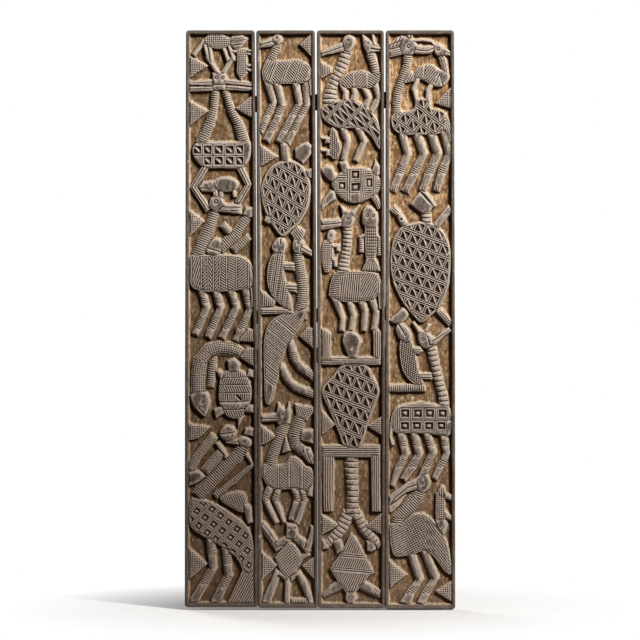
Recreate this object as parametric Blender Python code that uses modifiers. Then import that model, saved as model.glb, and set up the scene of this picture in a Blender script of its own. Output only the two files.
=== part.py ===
"""Carved door panel: four upright planks, side by side, on three cross battens.

The panel faces -Y and stands along +Z. Its battens lie against the wall plane y = 0, and
the origin is the middle of the upper batten's back face. Each plank is one piece of wood:
its rim and its animals are the old front face, left standing when the ground round them
was cut away. The figures are drawn in millimetres on each plank, u to the right and v up
from the foot, and they are scaled with the plank when its size is changed.
"""

import math

import bmesh
import bpy
import mathutils

# Overall sizes, in metres.
PLANK_HEIGHT = 1.733
PLANK_THICKNESS = 0.038
RELIEF_DEPTH = 0.014
CELL_DEPTH = 0.006

# Width of each plank at its foot, where the seams close, and at its top.
PLANK_WIDTHS = {
    "board_1": (0.2190, 0.2169, 0.2061),
    "board_2": (0.1801, 0.1788, 0.1761),
    "board_3": (0.2001, 0.2041, 0.2008),
    "board_4": (0.2106, 0.2089, 0.2048),
}
# How far each plank's foot stands above the panel's foot.
FOOT_OFFSETS = {"board_1": 0.002, "board_2": 0.0, "board_3": -0.001, "board_4": -0.004}
SEAM_CLOSES_AT = 0.690
SEAM_CLOSED = 0.0006
SEAMS_AT_TOP = (0.0045, 0.0060, 0.0060)

# Raised rim round each plank's carved field, and the worn edges.
RIM_SIDE = 0.0095
RIM_TOP = 0.0115
RIM_FOOT = 0.0125
ARRIS_RADIUS = 0.003
CORNER_RADIUS = 0.008

# Cross battens: how far the middle is below the panel's top, and how tall each is.
BATTENS = {
    "upper_batten": (0.212, 0.051),
    "middle_batten": (0.855, 0.044),
    "lower_batten": (0.976, 0.048),
}
BATTEN_THICKNESS = 0.022
BATTEN_RISE = math.radians(1.7)
BATTEN_END_INSET = 0.024
BATTEN_ARRIS = 0.002
CLEARANCE = 0.0003

# Middle, mean width and height of each plank as the figures were drawn on it, in millimetres.
DRAWN_MIDDLE = {"board_1": 107.2, "board_2": 89.7, "board_3": 100.3, "board_4": 103.6}
DRAWN_WIDTH = {"board_1": 212.6, "board_2": 178.1, "board_3": 200.5, "board_4": 207.7}
DRAWN_HEIGHT = 1733.0
# Segments of a smooth outline between two of its points, and of a plank's rounded corner.
CURVE_STEPS = 2
CORNER_STEPS = 3
# How far a cutter runs past the face that it cuts.
CUTTER_REACH = 0.010

WOOD_COLOURS = {
    "board_1": (0.150, 0.105, 0.072, 1.0),
    "board_2": (0.158, 0.118, 0.084, 1.0),
    "board_3": (0.170, 0.126, 0.088, 1.0),
    "board_4": (0.165, 0.118, 0.082, 1.0),
    "upper_batten": (0.085, 0.058, 0.038, 1.0),
    "middle_batten": (0.080, 0.055, 0.037, 1.0),
    "lower_batten": (0.082, 0.056, 0.037, 1.0),
}

PLANK_BACK = -BATTEN_THICKNESS - CLEARANCE
PLANK_FRONT = PLANK_BACK - PLANK_THICKNESS
PANEL_TOP = BATTENS["upper_batten"][0]
PANEL_FOOT = PANEL_TOP - PLANK_HEIGHT


# Outline helpers: each gives a closed outline as a list of (u, v) points in millimetres.


def straight(*points):
    """A straight-sided outline."""
    return list(points)


def smooth(*points):
    """A round outline through the points, from a closed Catmull-Rom curve."""
    outline = []
    count = len(points)
    for i in range(count):
        before, start, end, after = (points[(i + k) % count] for k in (-1, 0, 1, 2))
        for step in range(CURVE_STEPS):
            four_points = zip(before, start, end, after)
            outline.append(tuple(curve_point(*four, step / CURVE_STEPS) for four in four_points))
    return outline


def curve_point(before, start, end, after, t):
    """One coordinate of the Catmull-Rom curve, the share t of the way from start to end."""
    return 0.5 * (
        2 * start
        + (end - before) * t
        + (2 * before - 5 * start + 4 * end - after) * t**2
        + (3 * start - before - 3 * end + after) * t**3
    )


def oval(centre, radii, sides=14):
    """An ellipse."""
    turns = [2 * math.pi * side / sides for side in range(sides)]
    return [
        (centre[0] + radii[0] * math.cos(turn), centre[1] + radii[1] * math.sin(turn))
        for turn in turns
    ]


def strip(widths, *points):
    """A limb or neck: a line of points, as wide at each point as widths says."""
    if not isinstance(widths, tuple):
        widths = (widths,) * len(points)
    left, right = [], []
    for i, (u, v) in enumerate(points):
        before = points[max(i - 1, 0)]
        after = points[min(i + 1, len(points) - 1)]
        run = math.dist(before, after)
        side = (-(after[1] - before[1]) / run, (after[0] - before[0]) / run)
        half = widths[i] / 2
        left.append((u + side[0] * half, v + side[1] * half))
        right.append((u - side[0] * half, v - side[1] * half))
    return left + right[::-1]


def cell(left, right, low, high):
    """A square pit."""
    return [(left, low), (right, low), (right, high), (left, high)]


# The figures of each plank, from its top to its foot.


def board_1_figures():
    return {
        "top_lizard": smooth(
            (54, 1699), (68, 1718), (90, 1723), (112, 1720), (136, 1704), (134, 1688),
            (106, 1677), (74, 1682)
        ),
        "top_lizard_head": straight(
            (131, 1706), (150, 1722), (166, 1721), (187, 1708), (180, 1694), (166, 1679),
            (150, 1676), (131, 1688)
        ),
        "top_lizard_tail": strip(12, (56, 1700), (26, 1660)),
        "left_hand_outer": strip(10, (58, 1690), (70, 1645)),
        "left_hand_inner": strip(10, (73, 1688), (79, 1640)),
        "right_hand_inner": strip(10, (112, 1686), (129, 1642)),
        "right_hand_outer": strip(10, (130, 1690), (145, 1644)),
        "left_forearm": strip(14, (67, 1654), (100, 1600)),
        "right_forearm": strip(14, (144, 1654), (111, 1600)),
        "twin_heads": straight((82, 1606), (122, 1606), (123, 1553), (81, 1553)),
        "twin_left_beak": straight((11, 1579), (84, 1587), (84, 1551), (11, 1548)),
        "twin_right_beak": straight((120, 1588), (205, 1576), (205, 1552), (120, 1552)),
        "twin_left_neck": strip((20, 22, 30, 34), (90, 1558), (86, 1500), (72, 1450), (48, 1394)),
        "twin_right_neck": strip(
            (18, 22, 28, 34), (116, 1558), (137, 1495), (160, 1450), (176, 1394)
        ),
        "twin_body": smooth(
            (22, 1374), (38, 1397), (90, 1399), (150, 1400), (190, 1402), (198, 1384),
            (192, 1344), (165, 1319),
            (110, 1318), (60, 1320), (32, 1342)
        ),
        "twin_left_leg": strip((22, 18, 18), (64, 1328), (24, 1263), (68, 1195)),
        "twin_right_leg": strip((22, 18, 18), (160, 1328), (190, 1270), (158, 1215)),
        "side_lizard": straight((154, 1677), (186, 1678), (187, 1606), (168, 1580), (155, 1606)),
        "side_lizard_leg_1": strip(6, (184, 1673), (202, 1671)),
        "side_lizard_leg_2": strip(6, (184, 1663), (202, 1661)),
        "side_lizard_leg_3": strip(6, (184, 1627), (202, 1629)),
        "side_lizard_leg_4": strip(6, (184, 1615), (202, 1612)),
        "side_lizard_arm": strip(8, (156, 1670), (142, 1669)),
        "triangle_1": straight((12, 1656), (68, 1627), (11, 1590)),
        "triangle_2": straight((12, 1524), (68, 1491), (13, 1446)),
        "triangle_3": straight((150, 1499), (206, 1540), (206, 1468)),
        "pig": oval((121, 1270), (40, 23)),
        "pig_head": straight((90, 1283), (52, 1277), (40, 1262), (50, 1248), (90, 1247)),
        "pig_leg_1": strip(9, (93, 1256), (92, 1235)),
        "pig_leg_2": strip(9, (109, 1252), (108, 1235)),
        "pig_leg_3": strip(9, (146, 1258), (147, 1235)),
        "long_neck_head": smooth(
            (72, 1204), (76, 1228), (93, 1237), (110, 1230), (116, 1206), (92, 1188)
        ),
        "long_neck_snout": straight((106, 1214), (167, 1211), (167, 1182), (98, 1188)),
        "long_neck_horn_1": strip(6, (89, 1230), (87, 1248)),
        "long_neck_horn_2": strip(6, (102, 1230), (106, 1247)),
        "long_neck": strip((30, 32, 42, 42), (91, 1200), (76, 1150), (57, 1103), (38, 1050)),
        "long_neck_body": smooth(
            (18, 1058), (60, 1059), (110, 1060), (158, 1056), (190, 1040), (206, 1012),
            (205, 965), (160, 953),
            (100, 948), (45, 951), (16, 968), (11, 1015)
        ),
        "long_neck_tail": strip(9, (200, 972), (202, 904)),
        "long_neck_leg_1": strip((24, 22, 22), (46, 958), (64, 900), (30, 820)),
        "long_neck_leg_2": strip((24, 22, 22), (88, 958), (107, 900), (68, 812)),
        "long_neck_leg_3": strip((24, 22, 22), (134, 960), (153, 900), (110, 809)),
        "long_neck_leg_4": strip((24, 22, 22), (178, 962), (194, 895), (152, 801)),
        "right_lizard_tail": straight(
            (172, 1180), (182, 1202), (205, 1202), (205, 1172), (190, 1168)
        ),
        "right_lizard": strip((24, 30, 30), (192, 1184), (150, 1120), (104, 1078)),
        "right_lizard_arm_1": strip(20, (112, 1150), (150, 1106)),
        "right_lizard_arm_2": strip(22, (146, 1074), (190, 1112)),
        "right_lizard_head": smooth(
            (62, 1070), (82, 1106), (104, 1106), (112, 1084), (98, 1060), (76, 1058)
        ),
        "triangle_4": straight((10, 1197), (57, 1160), (12, 1114)),
        "curled_lizard": strip(
            (46, 50, 50, 48, 46, 42, 28),
            (38, 636), (39, 700), (46, 742), (70, 770), (105, 780), (140, 777), (172, 762)
        ),
        "curled_lizard_head": straight(
            (14, 640), (62, 650), (74, 625), (73, 600), (62, 577), (52, 577), (34, 600), (18, 622)
        ),
        "curled_lizard_arm": strip(22, (86, 762), (82, 730), (75, 664)),
        "triangle_5": straight((160, 800), (188, 836), (206, 836), (206, 797)),
        "triangle_6": straight((164, 752), (184, 778), (206, 780), (206, 724)),
        "tortoise": smooth(
            (110, 700), (150, 714), (180, 702), (197, 662), (196, 622), (181, 594), (165, 570),
            (134, 570),
            (108, 598), (99, 640)
        ),
        "tortoise_head": straight((134, 706), (133, 744), (150, 750), (167, 744), (166, 706)),
        "tortoise_leg_1": straight((88, 705), (116, 704), (120, 688), (92, 687)),
        "tortoise_leg_2": straight((184, 694), (190, 714), (206, 714), (206, 690)),
        "tortoise_leg_3": straight((180, 606), (206, 609), (206, 584), (178, 587)),
        "tortoise_leg_4": straight((86, 596), (112, 606), (120, 586), (92, 567)),
        "tortoise_tail": straight((156, 575), (177, 575), (159, 541)),
        "triangle_7": straight((10, 553), (75, 543), (40, 508), (10, 502)),
        "low_lizard_head": smooth(
            (103, 516), (112, 541), (130, 548), (149, 538), (151, 514), (128, 499)
        ),
        "low_lizard_paw": straight((174, 519), (180, 540), (206, 540), (206, 514)),
        "low_lizard": strip(27, (86, 516), (34, 451), (12, 410)),
        "low_lizard_belly": strip(30, (108, 466), (58, 408)),
        "low_lizard_arm": strip(14, (97, 494), (125, 449)),
        "low_lizard_snout": straight((10, 409), (42, 412), (61, 393), (34, 374), (10, 364)),
        "crane_head": smooth(
            (156, 500), (166, 514), (184, 513), (198, 500), (194, 484), (170, 482)
        ),
        "crane_beak": straight((121, 501), (168, 511), (168, 486), (121, 494)),
        "crane_neck": strip((34, 38, 38, 40), (178, 490), (158, 456), (100, 402), (34, 334)),
        "crane_arm": strip((11, 11, 16, 18), (182, 462), (202, 428), (150, 384), (92, 336)),
        "pangolin": smooth(
            (104, 330), (124, 342), (164, 348), (183, 333), (180, 300), (168, 286), (118, 312)
        ),
        "pangolin_head": straight((172, 318), (198, 302), (203, 256), (187, 251), (178, 286)),
        "crane_body": smooth(
            (14, 318), (42, 326), (90, 310), (150, 272), (186, 242), (203, 190), (203, 114),
            (178, 106),
            (154, 149), (106, 187), (40, 223), (14, 252)
        ),
        "crane_tail": straight((174, 116), (206, 118), (206, 12), (126, 12)),
        "crane_leg_1": strip((28, 26, 28), (74, 215), (83, 117), (22, 12)),
        "crane_leg_2": strip((28, 26, 28), (122, 184), (130, 97), (88, 12)),
        "triangle_8": straight((12, 181), (66, 132), (12, 85)),
    }


def board_2_figures():
    return {
        "bird_head": smooth(
            (44, 1700), (50, 1716), (62, 1723), (74, 1714), (74, 1697), (58, 1690)
        ),
        "bird_beak": straight(
            (9, 1697), (32, 1707), (58, 1719), (58, 1692), (38, 1683), (9, 1679)
        ),
        "bird_neck": strip((28, 28, 26, 28), (60, 1702), (58, 1682), (50, 1663), (40, 1640)),
        "bird_body": smooth(
            (22, 1630), (34, 1647), (76, 1641), (118, 1645), (148, 1634), (164, 1614),
            (162, 1586), (140, 1575),
            (90, 1573), (30, 1574), (15, 1600)
        ),
        "bird_tail": strip((14, 10, 6), (157, 1612), (161, 1570), (162, 1540)),
        "bird_leg_1": strip((24, 20, 20, 20), (28, 1590), (50, 1516), (38, 1490), (9, 1428)),
        "bird_leg_2": strip((22, 20, 22, 24), (54, 1590), (76, 1508), (60, 1466), (28, 1402)),
        "bird_leg_3": strip((22, 20, 22, 22), (112, 1590), (128, 1513), (96, 1456), (66, 1398)),
        "bird_leg_4": strip((22, 20, 20, 24), (146, 1590), (149, 1512), (116, 1442), (90, 1394)),
        "triangle_1": straight((128, 1690), (164, 1724), (164, 1653)),
        "triangle_2": straight((11, 1389), (62, 1355), (12, 1325)),
        "tortoise_neck": strip(24, (81, 1404), (86, 1330)),
        "pebble": straight(
            (113, 1377), (130, 1391), (150, 1397), (164, 1388), (163, 1362), (138, 1331),
            (116, 1350)
        ),
        "tortoise": smooth(
            (30, 1308), (60, 1335), (102, 1343), (135, 1326), (155, 1290), (161, 1250),
            (152, 1200), (130, 1158),
            (100, 1130), (76, 1114), (52, 1138), (30, 1175), (15, 1220), (12, 1262)
        ),
        "tortoise_leg_1": straight((146, 1314), (164, 1319), (164, 1288), (150, 1294)),
        "tortoise_leg_2": straight((21, 1160), (26, 1177), (42, 1176), (46, 1157), (34, 1151)),
        "diver_crest": straight((100, 1124), (122, 1147), (143, 1130), (134, 1100), (112, 1104)),
        "diver_head": smooth(
            (107, 1090), (113, 1112), (130, 1112), (143, 1090), (138, 1064), (112, 1064)
        ),
        "diver_beak": straight((132, 1094), (165, 1072), (165, 1055), (128, 1068)),
        "diver_neck": strip(
            (28, 30, 32, 33, 34, 40), (121, 1076), (126, 1030), (134, 990), (137, 950),
            (136, 915), (128, 870)
        ),
        "diver_body": smooth(
            (152, 900), (132, 845), (105, 803), (86, 775), (72, 725), (58, 670), (46, 622),
            (35, 609), (24, 625),
            (21, 700), (21, 800), (36, 852), (70, 878), (112, 888)
        ),
        "diver_leg_1": strip((22, 26, 26, 26), (96, 808), (112, 750), (130, 722), (172, 692)),
        "diver_leg_2": strip((22, 24, 26, 26), (70, 728), (92, 684), (112, 662), (172, 640)),
        "lizard_head": smooth(
            (45, 1082), (54, 1101), (70, 1112), (84, 1104), (88, 1082), (76, 1056), (54, 1058)
        ),
        "lizard": smooth(
            (54, 1066), (38, 1044), (30, 1004), (34, 962), (48, 932), (76, 906), (106, 888),
            (101, 926),
            (89, 965), (81, 1010), (80, 1062)
        ),
        "lizard_arm_1": strip(25, (72, 1025), (113, 1024)),
        "lizard_arm_2": strip(28, (82, 961), (119, 959)),
        "triangle_3": straight((12, 954), (57, 920), (50, 904), (12, 903)),
        "cross_bar": straight((12, 900), (106, 902), (106, 884), (12, 879)),
        "triangle_4": straight((127, 815), (150, 839), (170, 839), (170, 777)),
        "antelope_head": straight(
            (63, 617), (86, 592), (96, 617), (102, 590), (99, 552), (66, 548), (58, 560),
            (12, 556), (12, 578),
            (58, 585)
        ),
        "antelope_neck": strip(
            (34, 34, 30, 30, 32), (84, 568), (74, 528), (60, 490), (46, 452), (38, 410)
        ),
        "antelope_body": smooth(
            (22, 430), (60, 428), (84, 432), (98, 449), (115, 452), (131, 440), (144, 424),
            (166, 412),
            (169, 374), (148, 352), (110, 357), (70, 354), (38, 361), (17, 395)
        ),
        "antelope_rump": strip((16, 16), (161, 392), (159, 336)),
        "antelope_leg_1": strip((24, 20, 18, 14), (46, 372), (24, 326), (42, 288), (58, 256)),
        "antelope_leg_2": strip((20, 18, 16, 10), (68, 370), (54, 326), (66, 298), (80, 258)),
        "antelope_leg_3": strip((20, 20, 20), (108, 370), (121, 326), (104, 264)),
        "antelope_leg_4": strip((22, 20, 20), (134, 370), (142, 322), (118, 254)),
        "stork_shoulder": straight((115, 611), (172, 602), (172, 592), (150, 560), (118, 572)),
        "stork_neck": strip(
            (38, 38, 38, 38, 30, 24), (142, 600), (126, 556), (114, 514), (116, 488), (140, 467),
            (158, 458)
        ),
        "stork_head": straight(
            (138, 484), (160, 478), (172, 455), (172, 430), (154, 434), (136, 458)
        ),
        "stork_paw": straight((134, 533), (170, 537), (170, 492), (130, 502)),
        "triangle_5": straight((86, 513), (100, 472), (75, 463)),
        "triangle_6": straight((11, 549), (57, 514), (30, 495), (12, 488)),
        "spread_left_arm": strip((26, 26, 24), (12, 250), (38, 218), (66, 176)),
        "spread_left_shoulder": strip(22, (56, 188), (96, 208)),
        "spread_head": straight((88, 253), (120, 253), (121, 206), (87, 206)),
        "spread_right_shoulder": strip((28, 24, 16), (108, 216), (138, 194), (153, 168)),
        "spread_right_arm": strip((18, 18, 16), (148, 172), (162, 205), (170, 242)),
        "spread_body": straight(
            (54, 150), (75, 176), (94, 198), (113, 190), (139, 146), (116, 108), (91, 84),
            (70, 112)
        ),
        "spread_right_side": strip(12, (130, 147), (153, 161)),
        "spread_left_leg": strip((22, 24, 24, 26), (92, 90), (62, 104), (48, 66), (25, 12)),
        "spread_right_leg": strip((22, 24, 22, 18), (100, 90), (124, 102), (144, 66), (162, 12)),
        "spread_tail": strip(16, (93, 100), (91, 12)),
        "spread_mat": straight((103, 28), (150, 28), (154, 12), (103, 12)),
        "triangle_7": straight((12, 170), (62, 128), (12, 80)),
        "triangle_8": straight((135, 126), (174, 154), (174, 84)),
    }


def board_3_figures():
    return {
        "bird_head": smooth(
            (74, 1690), (80, 1712), (94, 1720), (108, 1712), (111, 1694), (102, 1672), (84, 1668)
        ),
        "bird_beak": straight(
            (82, 1700), (55, 1690), (25, 1680), (10, 1669), (10, 1653), (30, 1660), (62, 1666),
            (82, 1670)
        ),
        "bird_neck": strip(
            (34, 36, 34, 32, 32, 44, 50), (90, 1682), (80, 1645), (67, 1612), (52, 1585),
            (42, 1560), (38, 1530),
            (36, 1476)
        ),
        "hound_head": straight(
            (133, 1725), (150, 1708), (168, 1695), (192, 1684), (192, 1671), (168, 1667),
            (150, 1660), (137, 1684)
        ),
        "hound_neck": strip((26, 26, 24, 24), (150, 1694), (160, 1655), (172, 1620), (178, 1590)),
        "hound_body": smooth(
            (66, 1580), (78, 1595), (104, 1608), (136, 1612), (164, 1603), (190, 1606),
            (188, 1584), (162, 1561),
            (112, 1559), (76, 1561)
        ),
        "hound_leg_1": strip(16, (74, 1572), (84, 1545), (80, 1512)),
        "hound_leg_2": strip(17, (106, 1572), (112, 1542), (102, 1512)),
        "hound_leg_3": strip(18, (134, 1572), (154, 1530), (140, 1498)),
        "hound_leg_4": strip(18, (170, 1580), (183, 1530), (158, 1484)),
        "bird_body": smooth(
            (12, 1502), (17, 1468), (60, 1441), (118, 1439), (145, 1430), (165, 1410),
            (185, 1376), (191, 1402),
            (187, 1440), (170, 1480), (134, 1512), (98, 1525), (60, 1522)
        ),
        "bird_leg_1": strip((22, 20, 18), (70, 1454), (90, 1400), (78, 1344)),
        "bird_leg_2": strip((22, 20, 18), (114, 1454), (140, 1400), (115, 1342)),
        "triangle_1": straight((10, 1638), (44, 1622), (42, 1606), (10, 1588)),
        "small_lizard": smooth(
            (37, 1430), (45, 1442), (54, 1430), (61, 1408), (69, 1382), (64, 1356), (50, 1346),
            (38, 1360), (35, 1395)
        ),
        "small_lizard_arm_1": straight(
            (8, 1415), (40, 1413), (40, 1394), (22, 1394), (22, 1405), (8, 1406)
        ),
        "small_lizard_arm_2": straight(
            (8, 1378), (40, 1376), (40, 1356), (24, 1356), (24, 1368), (8, 1369)
        ),
        "tortoise": smooth(
            (64, 1302), (94, 1319), (125, 1322), (154, 1317), (178, 1299), (194, 1275),
            (180, 1245), (152, 1226),
            (126, 1215), (92, 1217), (60, 1240), (42, 1272)
        ),
        "tortoise_head": smooth(
            (9, 1316), (28, 1327), (46, 1321), (52, 1304), (60, 1290), (44, 1278), (22, 1294)
        ),
        "tortoise_leg_1": straight((65, 1337), (84, 1346), (93, 1328), (92, 1300), (76, 1300)),
        "tortoise_leg_2": straight(
            (162, 1312), (174, 1343), (188, 1326), (186, 1300), (172, 1290)
        ),
        "tortoise_leg_3": strip((22, 18, 14), (164, 1242), (179, 1218), (186, 1200)),
        "tortoise_leg_4": straight(
            (38, 1253), (54, 1251), (54, 1226), (34, 1214), (12, 1192), (10, 1212), (20, 1230)
        ),
        "long_neck_ear_1": straight((67, 1210), (90, 1190), (76, 1176)),
        "long_neck_ear_2": straight((126, 1209), (96, 1188), (110, 1174)),
        "long_neck_head": smooth(
            (71, 1152), (75, 1178), (90, 1192), (104, 1185), (109, 1160), (98, 1140), (80, 1140)
        ),
        "long_neck_beak": straight((80, 1168), (10, 1165), (10, 1131), (60, 1141), (80, 1148)),
        "long_neck": strip(
            (32, 26, 26, 29, 40), (90, 1160), (90, 1115), (88, 1080), (82, 1048), (74, 998)
        ),
        "tall_lizard_head": smooth(
            (134, 1166), (137, 1193), (150, 1206), (168, 1198), (180, 1176), (177, 1146),
            (156, 1138), (138, 1148)
        ),
        "tall_lizard": straight(
            (142, 1156), (178, 1156), (181, 1105), (174, 1048), (146, 1048), (141, 1100)
        ),
        "tall_lizard_arm_1": strip(13, (146, 1118), (131, 1112), (131, 1069)),
        "tall_lizard_arm_2": strip(10, (176, 1116), (185, 1108), (185, 1060)),
        "tall_lizard_fan": straight(
            (148, 1054), (172, 1054), (183, 1030), (190, 1010), (132, 1010), (143, 1035)
        ),
        "little_lizard_head": smooth(
            (28, 1113), (34, 1131), (46, 1134), (52, 1119), (45, 1096), (32, 1096)
        ),
        "little_lizard": smooth(
            (14, 1090), (30, 1104), (46, 1092), (46, 1050), (38, 1012), (22, 1007), (12, 1040)
        ),
        "little_lizard_arm_1": straight(
            (42, 1091), (66, 1090), (66, 1069), (56, 1069), (56, 1080), (42, 1080)
        ),
        "little_lizard_arm_2": straight(
            (42, 1051), (58, 1050), (58, 1023), (48, 1023), (47, 1040), (42, 1040)
        ),
        "long_neck_body": straight(
            (50, 1005), (100, 1010), (165, 1007), (183, 1000), (193, 975), (193, 896), (184, 896),
            (181, 940),
            (168, 923), (120, 917), (80, 917), (50, 926), (33, 937), (36, 965), (43, 990)
        ),
        "long_neck_leg_1": strip((26, 18, 16, 16), (48, 938), (66, 894), (75, 868), (72, 832)),
        "long_neck_leg_2": strip((20, 18, 18), (92, 930), (107, 878), (100, 832)),
        "long_neck_leg_3": strip((22, 20, 18), (128, 930), (142, 890), (138, 832)),
        "long_neck_leg_4": strip((22, 18, 18), (158, 938), (176, 888), (169, 834)),
        "cup_left": straight((14, 836), (26, 834), (38, 824), (40, 740), (14, 740)),
        "cup_base": straight((12, 753), (190, 753), (190, 729), (12, 729)),
        "cup_right": straight((166, 832), (178, 836), (190, 828), (190, 740), (168, 740)),
        "cup_head": straight(
            (77, 820), (88, 831), (106, 830), (122, 818), (133, 797), (124, 775), (119, 748),
            (93, 748), (84, 772),
            (74, 798)
        ),
        "great_shell": smooth(
            (74, 727), (110, 731), (147, 727), (166, 695), (185, 652), (172, 606), (150, 548),
            (128, 484),
            (82, 484), (58, 540), (32, 600), (12, 652), (42, 692)
        ),
        "triangle_2": straight((11, 594), (55, 550), (13, 518)),
        "triangle_3": straight((149, 546), (194, 576), (194, 517)),
        "gate_top": straight((14, 488), (187, 488), (187, 451), (14, 451)),
        "gate_left": straight((14, 460), (50, 460), (46, 289), (18, 289)),
        "gate_right": straight((160, 460), (187, 460), (189, 288), (163, 289)),
        "trunk": strip(
            (42, 38, 36, 38, 48), (101, 462), (102, 400), (104, 350), (104, 300), (104, 262)
        ),
        "left_root": strip((38, 36, 34, 20), (94, 282), (72, 240), (46, 205), (22, 186)),
        "left_root_hand": strip(24, (56, 206), (67, 166)),
        "right_root": strip((32, 32, 30, 18), (116, 282), (138, 238), (164, 206), (186, 184)),
        "right_root_hand": straight((146, 202), (172, 198), (175, 175), (162, 167), (149, 170)),
        "triangle_4": straight((11, 281), (64, 248), (12, 218)),
        "triangle_5": straight((142, 243), (193, 285), (193, 220)),
        "paw": straight((14, 206), (36, 193), (34, 178), (14, 174)),
        "diamond": straight(
            (100, 225), (122, 196), (146, 150), (169, 106), (154, 96), (136, 72), (112, 44),
            (86, 44), (60, 78),
            (37, 116), (60, 150), (84, 190)
        ),
        "diamond_leg_1": strip((30, 28, 20), (124, 72), (160, 54), (188, 40)),
        "diamond_leg_2": strip((30, 26, 14), (74, 72), (44, 56), (18, 36)),
        "diamond_head": straight((86, 48), (112, 48), (118, 26), (108, 11), (90, 11), (83, 26)),
    }


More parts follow.
